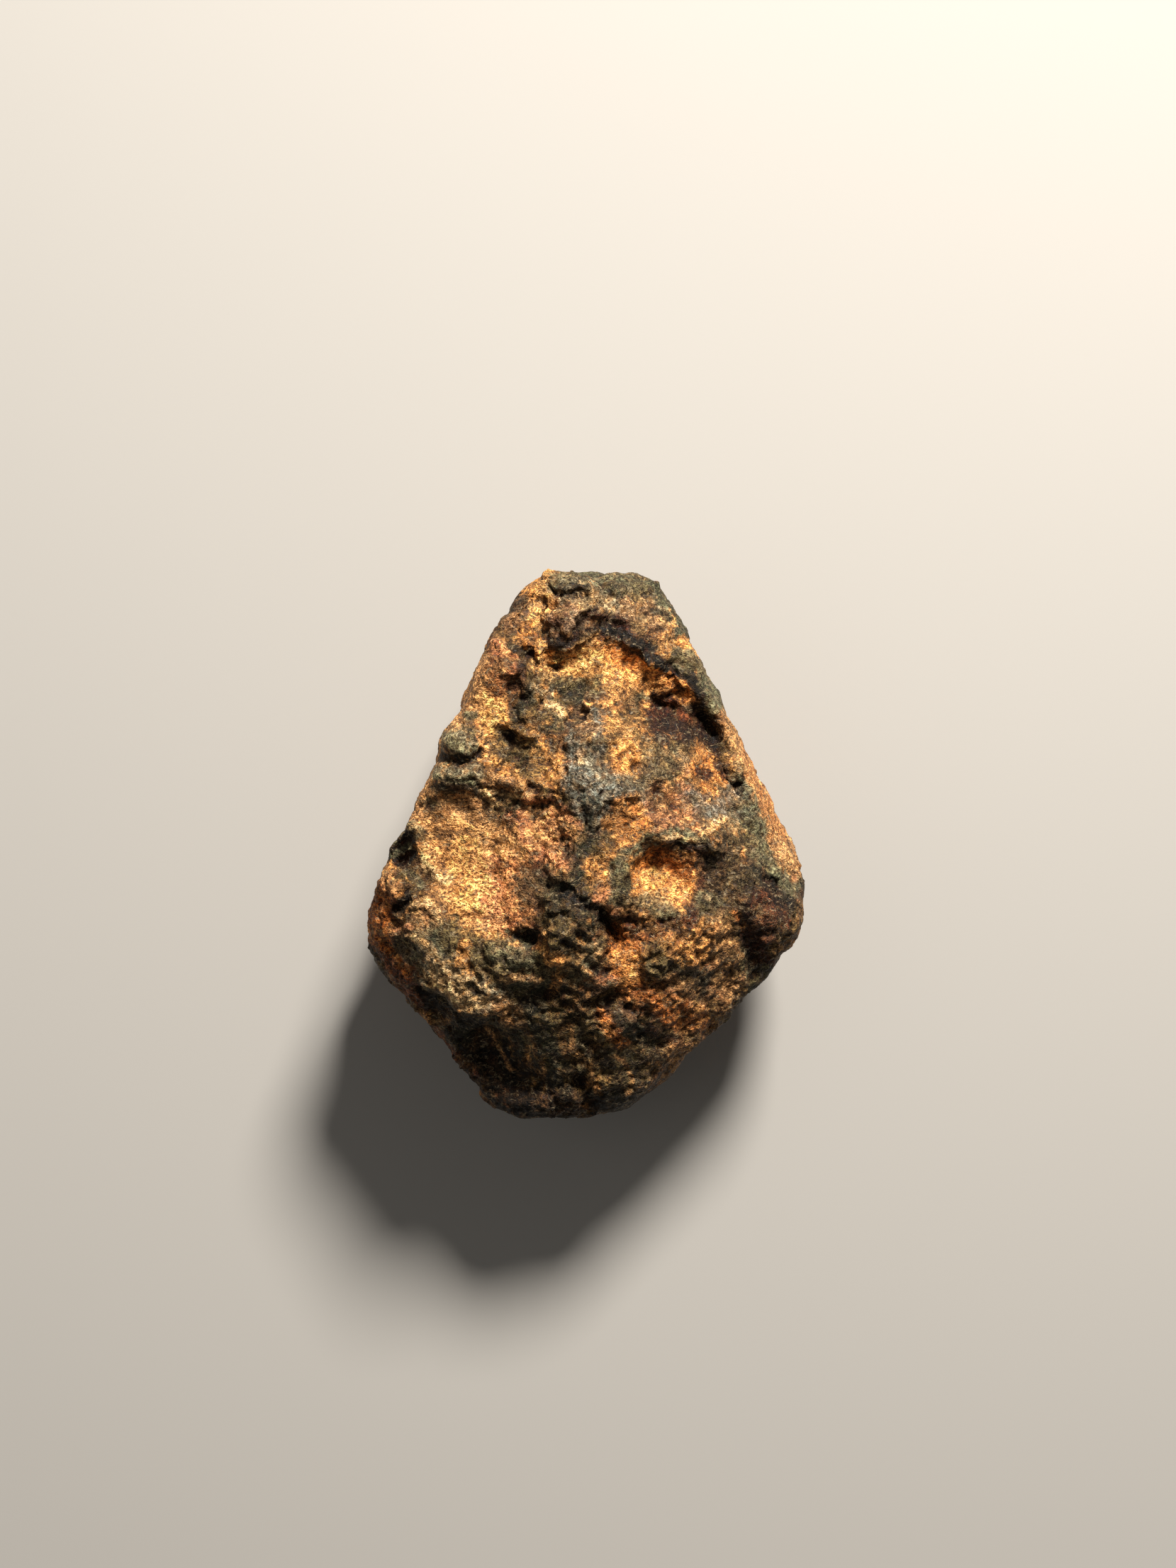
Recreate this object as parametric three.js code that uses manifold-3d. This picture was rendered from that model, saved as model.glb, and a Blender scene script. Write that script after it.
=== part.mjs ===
// A small weathered iron meteorite, one natural piece of nickel-iron under a rusty crust.
// It lies on a small flat spot with its broad face up. Millimetres, +Z up, +Y towards its narrow end.
// The body is a stone with rounded flats. On it stand a cap over a ledge, ridges, knobs, pits and hollows.
import * as THREE from "three";
import { ImprovedNoise } from "three/addons/math/ImprovedNoise.js";
import { mergeVertices } from "three/addons/utils/BufferGeometryUtils.js";
import Module from "manifold-3d";

// Driving dimensions
const LENGTH = 13.2; // along Y, from the narrow cap to the blunt end
const WIDTH = 10.5; // along X, at the widest corner
const THICKNESS = 7.4; // along Z, from the rest spot to the crest
const REST_TRIM = 0.3; // how deep the flat rest spot is worn into the underside
const EDGE_SHARPNESS = 34; // higher numbers give crisper edges between the flats
const ROUGH_COARSE = 0.15; // half height of the broad unevenness, about 2 mm apart
const ROUGH_FINE = 0.09; // half height of the lumps, under 1 mm apart
const SPHERE_DETAIL = 21; // 20 * (detail + 1)^2 triangles
const FRONT_CROWDING = 0.5; // how far the points crowd towards the detailed broad face

// The point that every flat is seen from, inside the stone
const HEART = new THREE.Vector3(0, -0.7, 3.5);

// Each flat: a point that it passes through, the way it faces round Z, and how far it faces up, in degrees
const FLATS = [
  { name: "broad face, upper half", through: [0, 1.0, 7.35], round: 90, up: 81 },
  { name: "broad face, lower half", through: [0, -3.0, 7.1], round: 270, up: 57 },
  { name: "broad face, left", through: [-3.4, -0.6, 6.7], round: 172, up: 75 },
  { name: "broad face, right", through: [3.0, -0.4, 6.6], round: 2, up: 71 },
  { name: "steep lower left", through: [-3.3, -3.9, 5.6], round: 222, up: 33 },
  { name: "lower right", through: [3.1, -3.1, 5.7], round: 313, up: 42 },
  { name: "rusty right flank", through: [4.1, 1.3, 4.6], round: 24, up: 40 },
  { name: "right flank, towards the cap", through: [2.2, 5.75, 4.2], round: 27, up: 3 },
  { name: "right flank", through: [4.1, 2.25, 3.4], round: 28, up: 0 },
  { name: "right corner", through: [5.25, -1.2, 3.2], round: 0, up: 0 },
  { name: "lower right edge", through: [3.2, -4.2, 3.2], round: 316, up: 0 },
  { name: "blunt end", through: [-0.4, -6.5, 3.3], round: 268, up: 2 },
  { name: "lower left edge", through: [-3.1, -4.9, 3.1], round: 220, up: 0 },
  { name: "left corner", through: [-5.2, -1.6, 3.1], round: 182, up: 0 },
  { name: "left flank", through: [-3.08, 2.75, 3.6], round: 155, up: 0 },
  { name: "cap, left chamfer", through: [-1.62, 5.95, 4.2], round: 136, up: 4 },
  { name: "cap, end", through: [0.4, 6.55, 4.2], round: 87, up: 2 },
  { name: "underside", through: [0.1, -0.7, 0], round: 270, up: -90 },
  { name: "underside, towards the cap", through: [0.1, 1.8, 0.3], round: 88, up: -71 },
  { name: "underside, towards the blunt end", through: [0.2, -3.0, 0.3], round: 275, up: -72 },
  { name: "underside, left", through: [-1.9, -0.6, 0.3], round: 186, up: -70 },
  { name: "underside, right", through: [2.1, -0.9, 0.3], round: 352, up: -71 },
  { name: "under the cap", through: [0.2, 5.0, 1.9], round: 92, up: -44 },
  { name: "under the right flank", through: [3.9, 0.6, 1.6], round: 22, up: -36 },
  { name: "under the left flank", through: [-3.6, 0.4, 1.5], round: 160, up: -43 },
  { name: "under the lower left", through: [-3.0, -4.0, 1.3], round: 226, up: -46 },
  { name: "under the blunt end", through: [0.4, -5.4, 1.5], round: 276, up: -36 },
  { name: "under the lower right", through: [3.2, -3.6, 1.4], round: 318, up: -40 },
];

// Steps on the broad face: the surface on the left of the way the points run drops, and comes back over the reach
const LEDGES = [
  {
    name: "lip of the cap",
    points: [[2.75, 3.5], [2.1, 4.25], [1.45, 4.75], [0.5, 5.05], [-0.3, 4.75], [-1.05, 4.85]],
    drop: 0.85,
    reach: 1.5,
  },
  {
    name: "ledge over the steep lower left",
    points: [[-2.0, -3.85], [-2.6, -3.85], [-3.3, -3.5], [-3.9, -3.1]],
    drop: 0.5,
    reach: 1.1,
  },
  {
    name: "crack above the lower right",
    points: [[1.9, -1.6], [1.0, -1.5], [0.55, -1.75]],
    drop: 0.35,
    reach: 0.7,
  },
];

// Raised lines on the broad face
const RIDGES = [
  { name: "crest, long arm", points: [[0.1, 2.6], [-0.1, 1.4], [-0.15, 0.4], [-0.2, -0.9], [-0.5, -2.4]], height: 0.34, half: 0.75 },
  { name: "crest, cross arm", points: [[-0.9, 1.2], [0.1, 1.35], [1.1, 1.2]], height: 0.25, half: 0.7 },
  { name: "rim of the round pit", points: [[0.95, -0.9], [1.1, -0.05], [1.7, 0.4], [2.4, 0.35], [3.1, 0.0]], height: 0.34, half: 0.42 },
  { name: "ridge to the right corner", points: [[2.9, 0.3], [3.9, -0.2], [4.9, -1.0]], height: 0.3, half: 0.6 },
  { name: "edge of the right flank", points: [[2.2, 5.9], [2.7, 4.2], [3.15, 3.2], [3.7, 1.6], [4.15, 0.5]], height: 0.3, half: 0.45 },
  { name: "edge over the left flank", points: [[-2.3, 4.2], [-3.2, 2.4], [-3.9, 0.9], [-4.5, -0.4]], height: 0.16, half: 0.4 },
];

// Knobs (height over 0) and pits (under 0) on the broad face: centre, half sizes, turn in degrees
const KNOBS_AND_PITS = [
  { name: "knob beside the cap", at: [-1.95, 5.55], half: [0.5, 0.75], turn: -20, height: 0.3 },
  { name: "groove beside the cap", at: [-1.2, 5.3], half: [0.55, 1.5], turn: -20, height: -0.34 },
  { name: "lump under the groove", at: [-1.7, 4.15], half: [0.85, 0.75], turn: 15, height: 0.34 },
  { name: "knob on the left edge", at: [-2.85, 2.4], half: [0.7, 0.6], turn: 35, height: 0.3 },
  { name: "lump on the left edge", at: [-2.85, 1.6], half: [1.05, 0.6], turn: -8, height: 0.24 },
  { name: "hollow below the lip", at: [0.3, 3.6], half: [1.7, 1.1], turn: 0, height: -0.22 },
  { name: "dark hollow on the right", at: [2.35, 3.0], half: [1.15, 0.85], turn: -35, height: -0.55 },
  { name: "small hollow on the right", at: [3.05, 1.95], half: [0.6, 0.75], turn: 30, height: -0.3 },
  { name: "round pit", at: [1.85, -0.75], half: [1.05, 0.95], turn: 20, height: -0.55 },
  { name: "rusty field on the left", at: [-2.6, -0.4], half: [1.6, 1.9], turn: 15, height: -0.32 },
  { name: "deep hole on the left corner", at: [-4.3, -0.1], half: [0.5, 0.65], turn: -35, height: -0.5 },
  { name: "slot in the lower left", at: [-1.4, -2.05], half: [0.6, 0.4], turn: -15, height: -0.28 },
  { name: "notch beside the round pit", at: [0.6, -1.9], half: [0.42, 0.75], turn: 30, height: -0.4 },
  { name: "scoop in the lower left", at: [-1.9, -4.9], half: [1.5, 1.1], turn: -35, height: -0.55 },
  { name: "slanted scoop in the lower right", at: [3.9, -2.35], half: [0.5, 1.1], turn: 35, height: -0.38 },
  { name: "rusty field in the lower right", at: [1.0, -2.9], half: [1.0, 1.1], turn: 0, height: -0.22 },
];

// Thumbprint hollows and bosses of the hidden sides: the way they lie from the heart, in degrees, and sizes in mm
const HIDDEN_SIDES = [
  { name: "thumbprint under the right corner", round: 350, up: -22, radius: 2.1, height: -0.5 },
  { name: "thumbprint under the right flank", round: 48, up: -18, radius: 1.9, height: -0.42 },
  { name: "thumbprint on the cap's end", round: 97, up: -8, radius: 1.3, height: -0.3 },
  { name: "thumbprint on the left flank", round: 143, up: -6, radius: 2.0, height: -0.5 },
  { name: "boss on the left flank", round: 165, up: -22, radius: 1.2, height: 0.3 },
  { name: "thumbprint under the left corner", round: 196, up: -30, radius: 1.8, height: -0.45 },
  { name: "thumbprint on the blunt end", round: 262, up: -12, radius: 1.7, height: -0.42 },
  { name: "boss on the blunt end", round: 247, up: -2, radius: 0.9, height: 0.38 },
  { name: "thumbprint on the lower right", round: 316, up: -20, radius: 1.8, height: -0.48 },
  { name: "pit under the blunt end", round: 292, up: -48, radius: 1.2, height: -0.38 },
  { name: "pit under the cap", round: 80, up: -42, radius: 1.4, height: -0.4 },
  { name: "boss under the cap", round: 118, up: -32, radius: 1.0, height: 0.28 },
];

const noise = new ImprovedNoise();
const smooth = (t) => THREE.MathUtils.smoothstep(t, 0, 1);

// The unit vector that faces round Z and up by two angles in degrees
function facing(round, up) {
  const turn = THREE.MathUtils.degToRad(round);
  const rise = THREE.MathUtils.degToRad(up);
  return new THREE.Vector3(
    Math.cos(turn) * Math.cos(rise),
    Math.sin(turn) * Math.cos(rise),
    Math.sin(rise),
  );
}

const flats = FLATS.map(({ through, round, up }) => {
  const normal = facing(round, up);
  const distance = new THREE.Vector3(...through).sub(HEART).dot(normal);
  return { normal, distance };
});

// The body's point and outward normal along a direction from the heart
function bodyAlong(direction) {
  let sum = 0;
  const normal = new THREE.Vector3();
  for (const flat of flats) {
    const reached = Math.max(flat.normal.dot(direction), 0) / flat.distance;
    sum += reached ** EDGE_SHARPNESS;
    normal.addScaledVector(flat.normal, reached ** (EDGE_SHARPNESS - 1) / flat.distance);
  }
  const point = direction.clone().multiplyScalar(sum ** (-1 / EDGE_SHARPNESS)).add(HEART);
  return { point, normal: normal.normalize() };
}

// Two or three octaves of noise at a point, about -1 to 1, for features the given size apart
function roughness(point, apart, seed) {
  let total = 0;
  for (const [scale, share] of [[1, 0.6], [2.1, 0.4]]) {
    const k = scale / apart;
    total += share * noise.noise(point.x * k + seed, point.y * k - seed, point.z * k + 2 * seed);
  }
  return total * 1.6;
}

// How far a point lies from a line of points: across it (over 0 on the left of its run) and along it (0 to 1)
function fromLine(x, y, points) {
  let best = { gap: Infinity };
  points.slice(1).forEach(([bx, by], i) => {
    const [ax, ay] = points[i];
    const [dx, dy] = [bx - ax, by - ay];
    const share = THREE.MathUtils.clamp(((x - ax) * dx + (y - ay) * dy) / (dx * dx + dy * dy), 0, 1);
    const [gx, gy] = [x - ax - share * dx, y - ay - share * dy];
    const gap = Math.hypot(gx, gy);
    if (gap < best.gap) {
      const side = gy * dx - gx * dy >= 0 ? 1 : -1;
      best = { gap, across: gap * side, along: (i + share) / (points.length - 1) };
    }
  });
  return best;
}

// A ledge's wall is this wide on plan, so that its drop is steep but never overhangs
const WALL = 0.65;

function ledgeHeight(x, y, { points, drop, reach }) {
  const { across, along } = fromLine(x, y, points);
  const fade = smooth(along * 7) * smooth((1 - along) * 7);
  return -drop * fade * smooth(across / WALL) * Math.exp(-((Math.max(across, 0) / reach) ** 2));
}

function ridgeHeight(x, y, { points, height, half }) {
  const { gap } = fromLine(x, y, points);
  return height * Math.max(1 - (gap / half) ** 2, 0) ** 2;
}

function knobHeight(x, y, { at, half, turn, height }) {
  const angle = THREE.MathUtils.degToRad(turn);
  const [dx, dy] = [x - at[0], y - at[1]];
  const u = (dx * Math.cos(angle) + dy * Math.sin(angle)) / half[0];
  const v = (dy * Math.cos(angle) - dx * Math.sin(angle)) / half[1];
  return height * smooth((1 - Math.hypot(u, v)) * 1.35);
}

// The broad face's relief over a point on plan, with its features' edges made uneven
function faceRelief(point) {
  const x = point.x + 0.22 * roughness(point, 1.3, 3.7);
  const y = point.y + 0.22 * roughness(point, 1.3, 9.2);
  return (
    LEDGES.reduce((total, ledge) => total + ledgeHeight(x, y, ledge), 0) +
    RIDGES.reduce((total, ridge) => total + ridgeHeight(x, y, ridge), 0) +
    KNOBS_AND_PITS.reduce((total, knob) => total + knobHeight(x, y, knob), 0)
  );
}

const hiddenSides = HIDDEN_SIDES.map(({ round, up, radius, height }) => ({
  centre: bodyAlong(facing(round, up)).point,
  radius,
  height,
}));

function hiddenRelief(point) {
  return hiddenSides.reduce((total, { centre, radius, height }) => {
    const away = point.distanceTo(centre) / radius;
    return total + height * Math.max(1 - away * away, 0) ** 2;
  }, 0);
}

// The finished surface point along a direction from the heart
function surfaceAlong(direction) {
  const { point, normal } = bodyAlong(direction);
  const onFace = smooth((normal.z - 0.25) / 0.4);
  const rough = ROUGH_COARSE * roughness(point, 2.2, 1.3) + ROUGH_FINE * roughness(point, 0.85, 5.1);
  const lifted = point.clone().addScaledVector(normal, rough + hiddenRelief(point));
  lifted.z += onFace * faceRelief(point);
  return lifted;
}

// The proportions of the egg whose points give the directions, so that the stone's ends get their share
const EGG = new THREE.Vector3(1, LENGTH / WIDTH, 1);

// Directions from the heart, joined in near-equal triangles that crowd towards the broad face
function crowdedDirections() {
  const sphere = new THREE.IcosahedronGeometry(1, SPHERE_DETAIL);
  sphere.deleteAttribute("normal");
  sphere.deleteAttribute("uv");
  const merged = mergeVertices(sphere, 1e-4);
  const position = merged.attributes.position;
  const point = new THREE.Vector3();
  for (let i = 0; i < position.count; i += 1) {
    point.fromBufferAttribute(position, i);
    point.z += FRONT_CROWDING;
    point.multiply(EGG).normalize();
    position.setXYZ(i, point.x, point.y, point.z);
  }
  return merged;
}

function shapedStone() {
  const geometry = crowdedDirections();
  const position = geometry.attributes.position;
  const direction = new THREE.Vector3();
  for (let i = 0; i < position.count; i += 1) {
    direction.fromBufferAttribute(position, i);
    const { x, y, z } = surfaceAlong(direction);
    position.setXYZ(i, x, y, z);
  }
  return geometry;
}

// Brings the stone to its driving dimensions, centred on plan, with the trimmed rest spot at height 0
function broughtToSize(geometry) {
  geometry.computeBoundingBox();
  const { min, max } = geometry.boundingBox;
  const size = max.clone().sub(min);
  geometry.translate(-(min.x + max.x) / 2, -(min.y + max.y) / 2, -min.z);
  geometry.scale(WIDTH / size.x, LENGTH / size.y, (THICKNESS + REST_TRIM) / size.z);
  return geometry.translate(0, 0, -REST_TRIM);
}

const wasm = await Module();
wasm.setup();

function solidFrom(geometry) {
  return new wasm.Manifold(
    new wasm.Mesh({
      numProp: 3,
      vertProperties: new Float32Array(geometry.attributes.position.array),
      triVerts: new Uint32Array(geometry.index.array),
    }),
  );
}

// Cuts the underside off flat at height 0, which leaves the small spot that the stone rests on
function trimmedFlat(geometry) {
  const slab = new THREE.BoxGeometry(2 * WIDTH, 2 * LENGTH, THICKNESS).translate(0, 0, -THICKNESS / 2);
  slab.deleteAttribute("normal");
  slab.deleteAttribute("uv");
  const mesh = solidFrom(geometry).subtract(solidFrom(mergeVertices(slab))).getMesh();
  const trimmed = new THREE.BufferGeometry();
  trimmed.setAttribute("position", new THREE.BufferAttribute(new Float32Array(mesh.vertProperties), 3));
  trimmed.setIndex(new THREE.BufferAttribute(new Uint32Array(mesh.triVerts), 1));
  trimmed.computeVertexNormals();
  return trimmed;
}

const rustyIron = new THREE.MeshStandardMaterial({ color: 0x6e4f34, roughness: 0.92, metalness: 0.15 });

const stone = new THREE.Mesh(trimmedFlat(broughtToSize(shapedStone())), rustyIron);
stone.name = "meteorite";

const part = new THREE.Group();
part.add(stone);

export default part;
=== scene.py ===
import bpy
import numpy as np
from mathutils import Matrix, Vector, noise


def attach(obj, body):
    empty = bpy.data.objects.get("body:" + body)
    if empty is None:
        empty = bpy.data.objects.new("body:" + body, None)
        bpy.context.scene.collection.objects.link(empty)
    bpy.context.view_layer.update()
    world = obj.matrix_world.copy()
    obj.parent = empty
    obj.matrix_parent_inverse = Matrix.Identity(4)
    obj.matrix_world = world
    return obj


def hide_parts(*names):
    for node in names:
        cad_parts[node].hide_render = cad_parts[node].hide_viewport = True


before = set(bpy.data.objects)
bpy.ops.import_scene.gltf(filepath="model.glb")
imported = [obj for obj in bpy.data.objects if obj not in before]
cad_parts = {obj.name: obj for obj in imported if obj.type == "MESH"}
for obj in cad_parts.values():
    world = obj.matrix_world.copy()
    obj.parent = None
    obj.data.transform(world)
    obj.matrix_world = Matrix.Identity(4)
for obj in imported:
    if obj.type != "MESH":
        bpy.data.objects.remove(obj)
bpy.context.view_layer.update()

MM = 0.001
VOXEL_COARSE = 0.11  # mm, for carving the larger forms
VOXEL_FINE = 0.058  # mm, for the finished crust
KEPT_TRIANGLES = 197000  # the underside is thinned until the stone has this many
REST_HEIGHT = 0.0  # mm, the flat spot that the stone lies on
WELD = 0.001  # mm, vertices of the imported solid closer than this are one

# Ledges of the broad face, in mm from the frame's origin: the stone drops on the left of each line's run.
# name, drop, how far the drop takes to come back, width of its wall, how far its edge hangs over, line
LEDGES = [
    ("lip of the cap", 0.22, 0.9, 0.18, 0.2,
     [(2.95, 3.45), (2.61, 3.88), (2.21, 4.10), (1.95, 4.33), (1.65, 4.44), (1.39, 4.80), (0.91, 4.98),
      (0.51, 5.10), (0.12, 5.01), (-0.14, 4.84), (-0.50, 4.86), (-0.85, 4.95), (-1.10, 5.02)]),
    ("step in the cap", 0.22, 0.5, 0.14, 0.11,
     [(1.15, 5.12), (0.86, 5.32), (0.5, 5.46), (0.1, 5.42), (-0.15, 5.5)]),
    ("slit by the cap's end", 0.14, 0.3, 0.10, 0.07,
     [(0.15, 6.02), (-0.25, 6.0), (-0.55, 6.1), (-0.75, 6.05)]),
    ("rim of the cap's end", 0.11, 0.5, 0.12, 0.03, [(2.0, 5.9), (1.5, 6.15), (0.9, 6.22), (0.3, 6.15)]),
    ("step beside the cap", 0.11, 0.4, 0.12, 0.06, [(2.45, 4.95), (1.95, 4.98), (1.6, 4.78)]),
    ("ledge over the steep lower left", 0.27, 1.0, 0.2, 0.17,
     [(-2.0, -3.72), (-2.35, -3.86), (-2.75, -3.78), (-3.1, -3.62), (-3.45, -3.3), (-3.85, -3.12)]),
    ("second ledge of the lower left", 0.18, 0.5, 0.14, 0.1,
     [(-2.2, -4.0), (-2.75, -4.3), (-3.3, -4.12), (-3.85, -4.22)]),
    ("crack above the lower right", 0.08, 0.3, 0.12, 0.1,
     [(2.1, -1.55), (1.6, -1.5), (1.15, -1.62), (0.8, -1.62), (0.6, -1.75)]),
    ("edge of the slot", 0.22, 0.28, 0.1, 0.1,
     [(-1.05, -2.12), (-1.25, -1.98), (-1.6, -1.92), (-2.1, -1.86), (-2.4, -1.84)]),
    ("shelf under the long lump", 0.14, 0.45, 0.12, 0.07,
     [(-0.6, 1.2), (-1.1, 1.25), (-1.6, 1.12), (-2.0, 1.1), (-2.3, 1.35)]),
    ("rim over the round pit", 0.1, 0.4, 0.14, 0.1,
     [(3.1, -0.12), (2.75, 0.02), (2.3, 0.2), (1.95, 0.24), (1.55, 0.1), (1.2, -0.12),
      (0.98, -0.4), (0.92, -0.8)]),
    ("edge of the right corner", 0.16, 0.5, 0.14, 0.08,
     [(5.0, -0.95), (4.75, -0.9), (4.45, -0.62), (4.15, -0.5)]),
    ("edge of the dark hollow", 0.11, 0.6, 0.16, 0.06,
     [(3.3, 2.9), (2.9, 3.45), (2.3, 3.4), (1.8, 3.52), (1.45, 3.4)]),
]

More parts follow.
